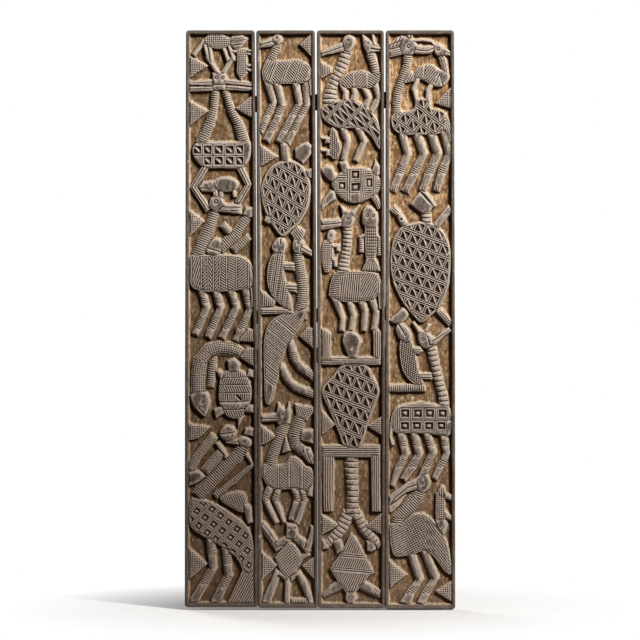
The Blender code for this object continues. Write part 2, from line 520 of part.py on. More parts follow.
def board_4_figures():
    return {
        "horned_head": smooth(
            (48, 1662), (42, 1688), (52, 1712), (74, 1710), (91, 1697), (93, 1678), (80, 1660)
        ),
        "horned_topknot": oval((71, 1715), (11, 11), 10),
        "horned_upper_jaw": straight(
            (11, 1690), (28, 1707), (48, 1718), (60, 1712), (54, 1686), (11, 1676)
        ),
        "horned_lower_jaw": straight((11, 1671), (46, 1684), (58, 1662), (11, 1651)),
        "horn_rim": strip((8, 7, 7, 9), (82, 1702), (112, 1704), (138, 1699), (149, 1686)),
        "horn": smooth(
            (84, 1687), (116, 1686), (149, 1688), (140, 1668), (116, 1661), (86, 1664)
        ),
        "bird_head": smooth(
            (145, 1676), (154, 1691), (169, 1690), (181, 1672), (174, 1657), (152, 1657)
        ),
        "bird_beak": straight((172, 1683), (198, 1669), (198, 1655), (170, 1658)),
        "bird_neck": strip((22, 20, 18), (163, 1674), (172, 1640), (183, 1600)),
        "horned_neck": strip(
            (28, 22, 22, 22, 22, 22, 32), (68, 1672), (64, 1630), (54, 1600), (45, 1572),
            (36, 1545), (33, 1510),
            (36, 1470)
        ),
        "bird_wing": straight((54, 1573), (84, 1580), (92, 1592), (76, 1611), (62, 1594)),
        "bird_body": smooth(
            (84, 1592), (92, 1616), (112, 1628), (140, 1630), (160, 1617), (188, 1606),
            (191, 1586), (174, 1567),
            (148, 1564), (112, 1584)
        ),
        "bird_leg_1": strip(13, (99, 1596), (85, 1556), (96, 1510)),
        "bird_leg_2": strip(15, (142, 1576), (128, 1554), (128, 1510)),
        "triangle_1": straight((150, 1514), (198, 1565), (198, 1498)),
        "horned_body": smooth(
            (18, 1476), (48, 1488), (84, 1496), (93, 1522), (112, 1529), (131, 1518), (138, 1499),
            (168, 1493),
            (189, 1468), (200, 1402), (192, 1399), (180, 1429), (150, 1420), (100, 1420),
            (50, 1421), (22, 1440)
        ),
        "horned_leg_1": strip((24, 22, 24, 24), (48, 1432), (66, 1362), (44, 1306), (22, 1252)),
        "horned_leg_2": strip((26, 26, 26, 24), (90, 1432), (114, 1362), (90, 1310), (60, 1250)),
        "horned_leg_3": strip(
            (26, 26, 26, 22), (134, 1432), (156, 1364), (134, 1310), (110, 1252)
        ),
        "horned_leg_4": strip(
            (20, 22, 26, 20), (171, 1440), (190, 1362), (170, 1310), (153, 1252)
        ),
        "tortoise_head": straight(
            (105, 1249), (122, 1232), (140, 1204), (130, 1186), (106, 1186), (94, 1198),
            (88, 1214), (94, 1234)
        ),
        "tortoise_jaw": strip(10, (110, 1254), (134, 1226), (147, 1206)),
        "tortoise_neck": strip(28, (120, 1200), (124, 1146)),
        "tortoise_leg_1": strip((24, 20, 22), (20, 1200), (40, 1180), (60, 1144)),
        "tortoise_leg_2": strip((24, 20, 22), (195, 1198), (172, 1172), (148, 1140)),
        "tortoise": smooth(
            (45, 1140), (78, 1153), (112, 1158), (150, 1148), (178, 1120), (194, 1074),
            (195, 1016), (187, 962),
            (166, 907), (135, 875), (108, 856), (80, 880), (46, 925), (22, 980), (14, 1040),
            (22, 1100)
        ),
        "tortoise_foot_1": smooth(
            (12, 862), (34, 884), (52, 899), (68, 882), (58, 862), (34, 852)
        ),
        "tortoise_foot_2": strip((26, 22, 20), (142, 910), (172, 878), (196, 852)),
        "beaded_lizard_head": smooth(
            (35, 850), (47, 857), (69, 836), (79, 808), (62, 794), (40, 808), (31, 832)
        ),
        "beaded_lizard": smooth(
            (46, 806), (42, 765), (50, 715), (68, 686), (96, 666), (120, 650), (110, 684),
            (99, 712), (90, 760),
            (74, 806)
        ),
        "beaded_lizard_tail": straight((10, 669), (112, 671), (119, 649), (10, 648)),
        "beaded_lizard_arm_1": straight((80, 782), (104, 783), (112, 770), (100, 761), (82, 761)),
        "beaded_lizard_arm_2": strip(19, (90, 695), (138, 695)),
        "deer_ear_1": strip((8, 12), (85, 854), (106, 820)),
        "deer_ear_2": strip((12, 8), (116, 820), (129, 848)),
        "deer_head": smooth(
            (99, 826), (120, 832), (138, 812), (148, 790), (130, 777), (110, 782), (98, 804)
        ),
        "deer_beak": straight(
            (124, 816), (150, 812), (172, 831), (190, 840), (198, 830), (176, 814), (150, 788),
            (130, 786)
        ),
        "deer_neck": strip(
            (30, 28, 26, 28, 28, 32), (130, 806), (142, 755), (150, 720), (160, 680), (172, 635),
            (177, 590)
        ),
        "deer_body": smooth(
            (30, 602), (70, 612), (110, 618), (150, 610), (190, 603), (199, 560), (191, 516),
            (140, 520),
            (80, 524), (28, 526), (15, 560)
        ),
        "deer_tail": strip((12, 10, 8), (20, 550), (14, 515), (20, 490)),
        "deer_leg_1": strip((24, 24, 22, 16), (44, 536), (60, 462), (40, 420), (20, 366)),
        "deer_leg_2": strip((22, 26, 24, 20), (80, 534), (101, 462), (78, 418), (54, 384)),
        "deer_leg_3": strip((22, 22, 24, 20), (121, 532), (142, 464), (122, 420), (110, 394)),
        "deer_leg_4": strip((22, 20, 22, 18), (171, 532), (184, 464), (164, 420), (147, 388)),
        "crane_head": smooth(
            (92, 388), (119, 403), (134, 382), (130, 358), (112, 344), (94, 356)
        ),
        "crane_beak": straight(
            (98, 392), (60, 372), (30, 350), (10, 334), (10, 308), (30, 322), (60, 344), (98, 358)
        ),
        "crane_lower_beak": straight(
            (10, 304), (42, 327), (60, 338), (46, 312), (20, 286), (10, 284)
        ),
        "crane_neck": strip(
            (40, 46, 48, 46, 40), (110, 374), (96, 330), (68, 300), (40, 270), (36, 238)
        ),
        "crane_body": smooth(
            (14, 248), (48, 250), (64, 270), (92, 282), (120, 280), (150, 254), (178, 210),
            (194, 150),
            (197, 102), (178, 110), (146, 152), (116, 170), (70, 157), (22, 162)
        ),
        "side_lizard_head": smooth((156, 350), (169, 367), (181, 352), (176, 334), (160, 334)),
        "side_lizard": straight((151, 346), (178, 346), (181, 258), (150, 258)),
        "side_lizard_snout": smooth((151, 264), (181, 264), (184, 238), (174, 218), (158, 232)),
        "side_lizard_arm_1": straight((175, 349), (200, 338), (200, 321), (175, 328)),
        "side_lizard_arm_2": straight((175, 291), (200, 277), (200, 261), (175, 268)),
        "crane_leg_1": strip((24, 24, 26, 32), (74, 172), (103, 85), (78, 48), (58, 11)),
        "crane_leg_2": strip((24, 26, 24, 24), (114, 178), (150, 88), (124, 48), (106, 11)),
        "triangle_2": straight((10, 144), (64, 100), (14, 60)),
        "triangle_3": straight((150, 50), (198, 82), (198, 18)),
    }


# Square pits in the animals' backs.


def board_1_cells():
    columns = ((25, 48), (56, 78), (88, 112), (121, 145), (153, 174))
    upper = [cell(left, right, 1362, 1386) for left, right in columns]
    lower = [cell(left, right, 1329, 1353) for left, right in columns[1:]]
    return upper + lower


def board_3_cells():
    return [
        cell(101, 125, 1288, 1312),
        cell(101, 128, 1250, 1275),
        cell(62, 84, 1255, 1278),
        cell(146, 165, 1262, 1289),
    ]


def board_4_cells():
    upper = [cell(left, left + 25, 571, 595) for left in (46, 84, 120, 158)]
    lower = [cell(left, left + 25, 534, 557) for left in (45, 81, 118, 155)]
    return upper + lower


FIGURES = {
    "board_1": board_1_figures,
    "board_2": board_2_figures,
    "board_3": board_3_figures,
    "board_4": board_4_figures,
}
CELLS = {"board_1": board_1_cells, "board_3": board_3_cells, "board_4": board_4_cells}


# Where the planks stand.


def plank_edges():
    """The left and right side of each plank at the foot, where the seams close, and the top."""
    seams = ((SEAM_CLOSED,) * 3, (SEAM_CLOSED,) * 3, SEAMS_AT_TOP)
    edges = {name: [] for name in PLANK_WIDTHS}
    for level in range(3):
        widths = [plank[level] for plank in PLANK_WIDTHS.values()]
        left = -(sum(widths) + sum(seams[level])) / 2
        for name, width, seam in zip(PLANK_WIDTHS, widths, seams[level] + (0.0,)):
            edges[name].append((left, left + width))
            left += width + seam
    return edges


def plank_heights(name):
    """The height of a plank's foot, of the closing of its seams, and of its top."""
    foot = PANEL_FOOT + FOOT_OFFSETS[name]
    return foot, PANEL_FOOT + SEAM_CLOSES_AT, PANEL_TOP


def on_plank(name, outline):
    """A drawn outline in (x, z) metres, scaled with the plank it is carved on."""
    edges = plank_edges()[name]
    foot, top = edges[0], edges[2]
    middle = (sum(foot) + sum(top)) / 4
    width = (foot[1] - foot[0] + top[1] - top[0]) / 2
    across = width / DRAWN_WIDTH[name]
    up = PLANK_HEIGHT / DRAWN_HEIGHT
    return [
        (middle + (u - DRAWN_MIDDLE[name]) * across, PANEL_FOOT + v * up)
        for u, v in outline
    ]


def corner(x, z, side, upward):
    """A rounded corner of a plank, from its vertical side round to its end."""
    points = []
    for step in range(CORNER_STEPS + 1):
        turn = math.pi / 2 * step / CORNER_STEPS
        points.append(
            (
                x + side * CORNER_RADIUS * (math.cos(turn) - 1),
                z + upward * CORNER_RADIUS * (math.sin(turn) - 1),
            )
        )
    return points


def plank_outline(name):
    """The outline of a plank, anticlockwise from its lower right corner."""
    (foot_left, foot_right), (mid_left, mid_right), (top_left, top_right) = plank_edges()[name]
    foot, middle, top = plank_heights(name)
    return (
        corner(foot_right, foot, 1, -1)[::-1]
        + [(mid_right, middle)]
        + corner(top_right, top, 1, 1)
        + corner(top_left, top, -1, 1)[::-1]
        + [(mid_left, middle)]
        + corner(foot_left, foot, -1, -1)
    )


def field_outline(name):
    """The carved field of a plank, inside its rim."""
    foot_edges, middle_edges, top_edges = plank_edges()[name]
    foot, middle, top = plank_heights(name)
    return [
        (foot_edges[0] + RIM_SIDE, foot + RIM_FOOT),
        (foot_edges[1] - RIM_SIDE, foot + RIM_FOOT),
        (middle_edges[1] - RIM_SIDE, middle),
        (top_edges[1] - RIM_SIDE, top - RIM_TOP),
        (top_edges[0] + RIM_SIDE, top - RIM_TOP),
        (middle_edges[0] + RIM_SIDE, middle),
    ]


# Solids.


def clear_scene():
    for thing in list(bpy.data.objects):
        bpy.data.objects.remove(thing)


def new_collection(name):
    collection = bpy.data.collections.new(name)
    bpy.context.scene.collection.children.link(collection)
    return collection


def wood(name):
    """The weathered wood of one piece."""
    material = bpy.data.materials.new(name + "_wood")
    material.use_nodes = True
    shader = material.node_tree.nodes["Principled BSDF"]
    shader.inputs["Base Color"].default_value = WOOD_COLOURS[name]
    shader.inputs["Roughness"].default_value = 0.8
    shader.inputs["Metallic"].default_value = 0.0
    return material


def prism(name, outline, front, back, collection):
    """A flat outline in (x, z), from y = front to y = back, as a mesh object."""
    curve = bpy.data.curves.new(name, "CURVE")
    curve.dimensions = "2D"
    curve.fill_mode = "BOTH"
    curve.extrude = (back - front) / 2
    spline = curve.splines.new("POLY")
    spline.points.add(len(outline) - 1)
    for point, (x, z) in zip(spline.points, outline):
        point.co = (x, z, 0, 1)
    spline.use_cyclic_u = True
    drawing = bpy.data.objects.new(name + "_outline", curve)
    collection.objects.link(drawing)
    drawing.rotation_euler = (math.pi / 2, 0, 0)
    drawing.location = (0, (front + back) / 2, 0)
    bpy.context.view_layer.update()
    evaluated = drawing.evaluated_get(bpy.context.evaluated_depsgraph_get())
    mesh = bpy.data.meshes.new_from_object(evaluated)
    weld(mesh)
    solid = bpy.data.objects.new(name, mesh)
    collection.objects.link(solid)
    solid.matrix_world = drawing.matrix_world
    bpy.data.objects.remove(drawing)
    return solid


def weld(mesh):
    """Joins the caps of a solid made from a curve to its sides, and clears their triangles away."""
    shape = bmesh.new()
    shape.from_mesh(mesh)
    bmesh.ops.remove_doubles(shape, verts=shape.verts, dist=0.00001)
    bmesh.ops.dissolve_limit(shape, angle_limit=0.001, verts=shape.verts, edges=shape.edges)
    bmesh.ops.recalc_face_normals(shape, faces=shape.faces)
    shape.to_mesh(mesh)
    shape.free()


def as_cutter(thing):
    thing.hide_render = True
    thing.display_type = "WIRE"


def cut(thing, name, cutter):
    """Cuts an object, or every object in a collection, out of a thing."""
    boolean = thing.modifiers.new(name, "BOOLEAN")
    boolean.operation = "DIFFERENCE"
    boolean.solver = "EXACT"
    if isinstance(cutter, bpy.types.Collection):
        boolean.operand_type = "COLLECTION"
        boolean.collection = cutter
    else:
        boolean.object = cutter


def round_edges(thing, radius):
    bevel = thing.modifiers.new("worn_edges", "BEVEL")
    bevel.width = radius
    bevel.segments = 2
    bevel.limit_method = "ANGLE"
    bevel.angle_limit = math.radians(60)


def carved_ground(name, cutters):
    """The field of a plank, and in a collection of their own the figures that stand in it."""
    figures = bpy.data.collections.new(name + "_figures")
    cutters.children.link(figures)
    floor = PLANK_FRONT + RELIEF_DEPTH
    ground = prism(name + "_ground", field_outline(name), PLANK_FRONT - CUTTER_REACH, floor, cutters)
    as_cutter(ground)
    for figure, outline in FIGURES[name]().items():
        solid = prism(
            name + "_" + figure,
            on_plank(name, outline),
            PLANK_FRONT - 2 * CUTTER_REACH,
            floor + CUTTER_REACH,
            figures,
        )
        as_cutter(solid)
    return ground, figures


def pits(name, cutters):
    """The square pits of a plank's figures."""
    cells = bpy.data.collections.new(name + "_cells")
    cutters.children.link(cells)
    for number, outline in enumerate(CELLS[name](), 1):
        pit = prism(
            f"{name}_cell_{number}",
            on_plank(name, outline),
            PLANK_FRONT - CUTTER_REACH,
            PLANK_FRONT + CELL_DEPTH,
            cells,
        )
        as_cutter(pit)
    return cells


def plank(name, parts):
    """One plank before it is carved."""
    board = prism(name, plank_outline(name), PLANK_FRONT, PLANK_BACK, parts)
    board.data.materials.append(wood(name))
    return board


def carve(board, ground, figures, cells):
    """Takes the ground, less the figures, and the pits out of a plank."""
    round_edges(board, ARRIS_RADIUS)
    cut(ground, "figures", figures)
    cut(board, "ground", ground)
    if cells:
        cut(board, "cells", cells)


def batten(name, parts):
    """One cross batten, rising a little to the right, its back in the wall plane."""
    drop, tall = BATTENS[name]
    top_edges = [edges[2] for edges in plank_edges().values()]
    half_panel = (top_edges[-1][1] - top_edges[0][0]) / 2
    length = 2 * (half_panel - BATTEN_END_INSET) / math.cos(BATTEN_RISE)
    bpy.ops.mesh.primitive_cube_add(size=1)
    bar = bpy.context.object
    bar.name = name
    bar.data.name = name
    bar.data.transform(mathutils.Matrix.Diagonal((length, BATTEN_THICKNESS, tall, 1)))
    bar.location = (0, -BATTEN_THICKNESS / 2, PANEL_TOP - drop)
    bar.rotation_euler = (0, -BATTEN_RISE, 0)
    bar.data.materials.append(wood(name))
    round_edges(bar, BATTEN_ARRIS)
    for collection in list(bar.users_collection):
        collection.objects.unlink(bar)
    parts.objects.link(bar)
    return bar


def main():
    clear_scene()
    parts = new_collection("carved_door_panel")
    cutters = new_collection("cutters")
    cutters.hide_render = True
    uncarved = []
    for name in PLANK_WIDTHS:
        cells = pits(name, cutters) if name in CELLS else None
        uncarved.append((plank(name, parts), *carved_ground(name, cutters), cells))
    for name in BATTENS:
        batten(name, parts)
    for pieces in uncarved:
        carve(*pieces)


main()
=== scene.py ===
"""Looks of the carved door panel: relief as fine meshes, weathered wood, light and camera.

Every plank is one height field. The figures of the CAD model are drawn again on it, in the same
millimetres, u to the right and v up from the foot. Each has sloping walls, worn edges and its own
cut pattern: rings, hatching, bands, chips or cells.
"""

import math

import bpy
import numpy as np
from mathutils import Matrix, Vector


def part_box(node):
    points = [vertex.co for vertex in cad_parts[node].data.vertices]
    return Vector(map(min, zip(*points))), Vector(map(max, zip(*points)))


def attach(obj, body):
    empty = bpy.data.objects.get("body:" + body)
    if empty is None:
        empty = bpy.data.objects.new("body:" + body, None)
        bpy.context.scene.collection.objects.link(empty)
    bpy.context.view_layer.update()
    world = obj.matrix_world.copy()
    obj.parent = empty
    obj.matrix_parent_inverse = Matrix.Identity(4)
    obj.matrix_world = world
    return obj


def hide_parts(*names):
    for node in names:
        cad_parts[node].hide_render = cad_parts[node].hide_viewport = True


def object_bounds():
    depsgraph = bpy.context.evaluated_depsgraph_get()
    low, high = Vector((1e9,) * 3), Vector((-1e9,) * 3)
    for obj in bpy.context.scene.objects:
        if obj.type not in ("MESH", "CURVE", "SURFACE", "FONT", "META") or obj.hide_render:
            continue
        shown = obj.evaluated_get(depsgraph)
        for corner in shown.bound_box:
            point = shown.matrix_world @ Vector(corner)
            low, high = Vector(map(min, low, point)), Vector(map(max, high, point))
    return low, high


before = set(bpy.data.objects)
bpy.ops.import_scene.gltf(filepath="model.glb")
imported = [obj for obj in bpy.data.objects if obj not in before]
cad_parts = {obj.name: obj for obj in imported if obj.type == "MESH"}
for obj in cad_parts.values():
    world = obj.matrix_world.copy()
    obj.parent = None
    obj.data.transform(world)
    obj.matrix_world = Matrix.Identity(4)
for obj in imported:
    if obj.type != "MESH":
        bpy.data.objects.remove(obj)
cad_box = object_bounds()

# Planks, in millimetres: the middle of each as its figures were drawn, and the carved depth.
DRAWN_MIDDLE = {"board_1": 107.2, "board_2": 89.7, "board_3": 100.3, "board_4": 103.6}
DRAWN_HEIGHT = 1733.0
RELIEF = 14.0
RIM_SIDE = 9.5
RIM_TOP = 11.5
RIM_FOOT = 12.5
ARRIS = 3.5
CORNER_RADIUS = 8.0
WALL_SLOPE = 4.2
WORN_EDGE = 3.0

# How a figure stands: how far its outline is drawn in, how far its edge is rounded down, and
# over what width. In millimetres for bodies, in parts of the half width for limbs.
BODY_SHAPE = (1.0, 2.8, 10.0)
LIMB_SHAPE = (0.07, 0.38, 0.90)

# Levels in millimetres: figures stand at three slightly different ones, limbs lower than bodies,
# and a limb runs on past its last point. The rim's edge and all tops are worn down a little.
LEVEL_STEP = 0.35
LIMB_DROP = 1.3
LIMB_OVERLAP = 2.5
RIM_FALL = 1.8
TOP_DROP = 0.6

# Pale chips: their depth in millimetres, and how ragged their hollow and their colour are, as
# the amount and size of the unevenness and what is added to its seed.
CHIP_DEPTH = 0.9
CHIP_HOLLOW = (0.8, 3, 12)
CHIP_COLOUR = (1.3, 3.5, 13)

# Uneven carving, as layers of (amount, size) or (amount, size, stretch up) in millimetres. The
# sides and the back are adzed this deep on average.
HAND_WANDER_U = ((0.8, 19), (0.3, 7))
HAND_WANDER_V = ((0.8, 21), (0.3, 7))
RIM_WOBBLE = ((0.9, 26, 3), (0.4, 9, 3))
TOOL_MARKS = ((1.3, 17, 1.6), (1.0, 7.5, 1.5))
SWELL = ((0.45, 34, 2), (0.3, 8, 2.5))
BACK_HOLLOWS = ((1.0, 46, 1.6), (0.5, 15, 5))
BACK_DEPTH = 1.2
SIDE_WAVE = ((0.35, 24),)
SIDE_DEPTH = 0.35

# Cuts: shallow ones are deepened more than deep ones, by these depths and factors, and each is
# as uneven as this.
DEEPENED = ((2.0, 5.0), (1.5, 1.15))
CUT_UNEVEN = ((0.25, 13),)

# Masks, in millimetres: what counts as a full cut and a full edge, how far an edge's surroundings,
# the painted shadow and the dust with painted light reach, and where behind the front the plain
# wood of the sides begins.
FULL_CUT = 6.0
FULL_EDGE = 1.1
EDGE_REACH = 1.8
SHADOW_REACH = (4.0, 8.5)
LIT_SIDE_REACH = (2.5, 5.0)
UNSEEN_FROM = (5.0, 12.0)

# The mesh: pitch of the front's grid, and how much coarser the sides and the back are.
PITCH = 1.05
COARSE = 6
MOST_TRIANGLES = 186000
SIDE_STEPS = 4
CURVE_STEPS = 5

# A plank's sides, in millimetres: from this far behind the front arris to this far before the
# back, and the width of the CAD model's back arris.
SIDE_START = 1.2
SIDE_END = 2.2
BACK_ARRIS = 2.5

# A batten's mesh, in millimetres: the length of a step, the points round it, how near its right
# end the CAD corners lie, and how much its faces, its waves and its arrises are worn.
BAR_STEP = 8.0
BAR_SIDES = 32
BAR_END = 6.0
BAR_WEAR, BAR_WAVE, BAR_ARRIS = 1.1, 0.9, 1.4


# Outlines, each a list of (u, v) points in millimetres.


class Outline(list):
    """A closed outline and, for a limb, the line down its middle and its half width."""

    spine = None
    half = 0.0


def straight(*points):
    return Outline(points)


def smooth(*points):
    """A round outline through the points, from a closed Catmull-Rom curve."""
    outline = Outline()
    count = len(points)
    for i in range(count):
        before, start, end, after = (points[(i + k) % count] for k in (-1, 0, 1, 2))
        for step in range(CURVE_STEPS):
            four_points = zip(before, start, end, after)
            outline.append(tuple(curve_point(*four, step / CURVE_STEPS) for four in four_points))
    return outline


def curve_point(before, start, end, after, t):
    return 0.5 * (
        2 * start
        + (end - before) * t
        + (2 * before - 5 * start + 4 * end - after) * t**2
        + (3 * start - before - 3 * end + after) * t**3
    )


def oval(centre, radii, sides=32):
    turns = [2 * math.pi * side / sides for side in range(sides)]
    return Outline(
        (centre[0] + radii[0] * math.cos(turn), centre[1] + radii[1] * math.sin(turn))
        for turn in turns
    )


def longer(start, end):
    """The end of a line, drawn out by the limbs' overlap."""
    run = math.dist(start, end)
    return tuple(b + (b - a) / run * LIMB_OVERLAP for a, b in zip(start, end))


def strip(widths, *points):
    """A limb or neck: a line of points, as wide at each point as widths says."""
    if not isinstance(widths, tuple):
        widths = (widths,) * len(points)
    points = (longer(points[1], points[0]), *points[1:-1], longer(points[-2], points[-1]))
    left, right = [], []
    for i, (u, v) in enumerate(points):
        before = points[max(i - 1, 0)]
        after = points[min(i + 1, len(points) - 1)]
        run = math.dist(before, after)
        side = (-(after[1] - before[1]) / run, (after[0] - before[0]) / run)
        half = widths[i] / 2
        left.append((u + side[0] * half, v + side[1] * half))
        right.append((u - side[0] * half, v - side[1] * half))
    outline = Outline(left + right[::-1])
    outline.spine = points
    outline.half = sum(widths) / len(widths) / 2
    return outline


# Fields over a grid of points.


def noise(u, v, size, seed, stretch=1.0):
    """Smooth random values from -1 to 1, with features of that size, stretched along v."""
    lattice = np.random.default_rng(seed).uniform(-1.0, 1.0, (67, 61))
    across, up = u / size, v / (size * stretch)
    column, row = np.floor(across).astype(int), np.floor(up).astype(int)
    s, t = across - column, up - row
    s, t = s * s * (3 - 2 * s), t * t * (3 - 2 * t)
    corners = [lattice[(row + j) % 67, (column + i) % 61] for j in (0, 1) for i in (0, 1)]
    low = corners[0] * (1 - s) + corners[1] * s
    high = corners[2] * (1 - s) + corners[3] * s
    return low * (1 - t) + high * t


def layers(u, v, seed, sizes, start=0.0):
    """Layers of noise added to start, each (amount, size) or (amount, size, stretch)."""
    for k, (amount, size, *stretch) in enumerate(sizes):
        start = start + amount * noise(u, v, size, seed + k, *stretch)
    return start


def inside_distance(outline, u, v):
    """Distance to the outline, positive inside it."""
    nearest = np.full(u.shape, 1e9)
    inside = np.zeros(u.shape, bool)
    points = list(outline)
    for (u0, v0), (u1, v1) in zip(points, points[1:] + points[:1]):
        du, dv = u1 - u0, v1 - v0
        run = du * du + dv * dv
        if run == 0:
            continue
        t = np.clip(((u - u0) * du + (v - v0) * dv) / run, 0, 1)
        nearest = np.minimum(nearest, (u - u0 - t * du) ** 2 + (v - v0 - t * dv) ** 2)
        if dv:
            inside ^= ((v0 > v) != (v1 > v)) & (u < du * (v - v0) / dv + u0)
    return np.where(inside, 1.0, -1.0) * np.sqrt(nearest)


def along_spine(spine, u, v):
    """How far along the spine each point lies, and how far to its side."""
    nearest = np.full(u.shape, 1e9)
    along, aside = np.zeros(u.shape), np.zeros(u.shape)
    done = 0.0
    for (u0, v0), (u1, v1) in zip(spine, spine[1:]):
        run = math.dist((u0, v0), (u1, v1))
        du, dv = (u1 - u0) / run, (v1 - v0) / run
        t = (u - u0) * du + (v - v0) * dv
        side = (u - u0) * -dv + (v - v0) * du
        gap = np.hypot(side, t - np.clip(t, 0, run))
        closer = gap < nearest
        nearest = np.where(closer, gap, nearest)
        along = np.where(closer, done + t, along)
        aside = np.where(closer, side, aside)
        done += run
    return along, aside


def blurred(field, radius):
    """The field averaged three times over a square of that radius, in cells."""
    for _ in range(3):
        for axis in (0, 1):
            pad = [(radius + 1, radius) if k == axis else (0, 0) for k in (0, 1)]
            total = np.cumsum(np.pad(field, pad, mode="edge"), axis=axis)
            high = np.take(total, range(2 * radius + 1, total.shape[axis]), axis=axis)
            low = np.take(total, range(total.shape[axis] - 2 * radius - 1), axis=axis)
            field = (high - low) / (2 * radius + 1)
    return field


def rising(value, start, end):
    """0 below start, 1 above end."""
    return np.clip((value - start) / (end - start), 0.0, 1.0)


def between(value, low, high):
    """1 between low and high, fading inside them over a millimetre."""
    return rising(value, low, low + 1) * rising(-value, -high, 1 - high)


def notch(off, half):
    """1 on a line, 0 from half a width off it."""
    return np.clip(1.0 - np.abs(off) / half, 0.0, 1.0)


def turned_axes(u, v, angle):
    """Distances along and across lines that run at an angle to u, in degrees."""
    turn = math.radians(angle)
    return u * math.cos(turn) + v * math.sin(turn), v * math.cos(turn) - u * math.sin(turn)


# Cuts. Each maker gives a function from a Spot to the depth cut there, in millimetres.


class Spot:
    """A figure's stretch of the grid: places, distances inside its outline and by its spine."""

    def __init__(self, outline, u, v):
        self.u, self.v = u, v
        self.inside = inside_distance(outline, u, v)
        self.along, self.aside = along_spine(outline.spine, u, v) if outline.spine else (v, u)


def furrow(across, pitch, share=0.6):
    """Parallel V cuts at a pitch, 0 to 1 deep; share is how much of the pitch a cut takes."""
    return notch(((across / pitch) % 1.0 - 0.5) * 2.0, share)


def turned(spot, angle):
    """Distance across lines that run at that angle."""
    return turned_axes(spot.u, spot.v, angle)[1]


def within(spot, border):
    return rising(spot.inside, border - 0.8, border + 0.8)


def hatch(pitch, angle, depth=1.3, border=2.5, share=0.6):
    """Parallel lines."""
    return lambda spot: depth * within(spot, border) * furrow(turned(spot, angle), pitch, share)


def cross(pitch, angle=0.0, depth=2.6, border=2.5, share=0.85):
    """Pits between two sets of narrow ridges."""

    def depth_at(spot):
        one = furrow(turned(spot, angle), pitch, share)
        other = furrow(turned(spot, angle + 90.0), pitch, share)
        return depth * within(spot, border) * np.minimum(one, other)

    return depth_at


def rings(pitch, depth=1.9, border=0.0, share=0.6):
    """Cuts across a neck or limb."""
    return lambda spot: depth * within(spot, border) * furrow(spot.along, pitch, share)


def scales(pitch, depth=2.6, border=2.0, share=0.85):
    """Pits between ridges along and across a limb."""

    def depth_at(spot):
        one, other = furrow(spot.along, pitch, share), furrow(spot.aside, pitch, share)
        return depth * within(spot, border) * np.minimum(one, other)

    return depth_at


def lengthwise(pitch, depth=1.6, border=2.0, share=0.55):
    """Cuts along a limb."""
    return lambda spot: depth * within(spot, border) * furrow(spot.aside, pitch, share)


def panes(cut, *boxes):
    """A cut kept to boxes of (left, right, low, high)."""

    def depth_at(spot):
        held = np.zeros(spot.u.shape)
        for left, right, low, high in boxes:
            box = between(spot.u, left, right) * between(spot.v, low, high)
            held = np.maximum(held, box)
        return held * cut(spot)

    return depth_at


def beyond(cut, angle, start, end=1e9):
    """A cut kept to a stretch across a direction."""
    return lambda spot: cut(spot) * between(turned(spot, angle), start, end)


def line(*points, width=3.0, depth=2.2):
    """One cut along a line of points."""

    def depth_at(spot):
        nearest = np.full(spot.u.shape, 1e9)
        for (u0, v0), (u1, v1) in zip(points, points[1:]):
            du, dv = u1 - u0, v1 - v0
            t = np.clip(((spot.u - u0) * du + (spot.v - v0) * dv) / (du * du + dv * dv), 0, 1)
            nearest = np.minimum(nearest, np.hypot(spot.u - u0 - t * du, spot.v - v0 - t * dv))
        return depth * notch(nearest, width / 2) ** 0.8

    return depth_at


def eye(u, v, radius):
    """A ring with a raised pupil."""

    def depth_at(spot):
        out = np.hypot(spot.u - u, spot.v - v)
        return 2.0 * notch(out - radius * 0.75, radius * 0.45)

    return depth_at


def hollow(outline, depth=5.0, slope=2.0):
    """A pit with that outline."""
    return lambda spot: depth * rising(inside_distance(outline, spot.u, spot.v), 0.0, slope)


def border_line(inset=4.0, width=2.4, depth=1.4):
    """A line that follows the outline inside it."""
    return lambda spot: depth * notch(spot.inside - inset, width / 2)


def chip(p, q, tall, wide, depth):
    """Two wedge cuts in a cell, p up and q across it from 0 to 1, parted by a falling ridge."""
    off_side = np.minimum(np.minimum(p, 1 - p) * tall, np.minimum(q, 1 - q) * wide)
    wedge = np.clip(np.abs(p + q - 1.0) * 1.8 - 0.06, 0.0, 1.0)
    return depth * wedge * rising(off_side, 0.0, 1.6)


BAND_GROOVE = 2.3
RIDGE_GROOVE = 2.0
GROOVE_SHARE = 0.75


def lattice(origin, band, ridge, depth=6.5, border=5.0, stagger=0.0):
    """Bands and ridges, each (angle, pitch, width, lines), with a chipped cell between them."""

    def depth_at(spot):
        (angle, pitch, width, lines), (lean, step, thick, cuts) = band, ridge
        du, dv = spot.u - origin[0], spot.v - origin[1]
        up = turned_axes(du, dv, angle)[1]
        row = np.floor((up + width / 2) / pitch)
        over = row * stagger - turned_axes(du, dv, lean)[1]
        a, b = (up + width / 2) % pitch, (over + thick / 2) % step
        p, q = (a - width) / (pitch - width), (b - thick) / (step - thick)
        cell = chip(p, q, pitch, step, depth)
        along_ridge = RIDGE_GROOVE * furrow(b, thick / cuts, GROOVE_SHARE)
        along_band = BAND_GROOVE * furrow(a, width / lines, GROOVE_SHARE)
        cut = np.where(a < width, along_band, np.where(b < thick, along_ridge, cell))
        return cut * within(spot, border)

    return depth_at


def chipped(cells, depth=7.5, least=1.2):
    """Square cells of (left, right, low, high), each with two wedge cuts."""

    def depth_at(spot):
        total = np.zeros(spot.u.shape)
        for left, right, low, high in cells:
            p, q = (spot.v - low) / (high - low), (spot.u - left) / (right - left)
            held = (p > 0) & (p < 1) & (q > 0) & (q < 1)
            cut = chip(np.clip(p, 0, 1), np.clip(q, 0, 1), high - low, right - left, depth)
            total = np.where(held, np.maximum(cut, least), total)
        return total

    return depth_at


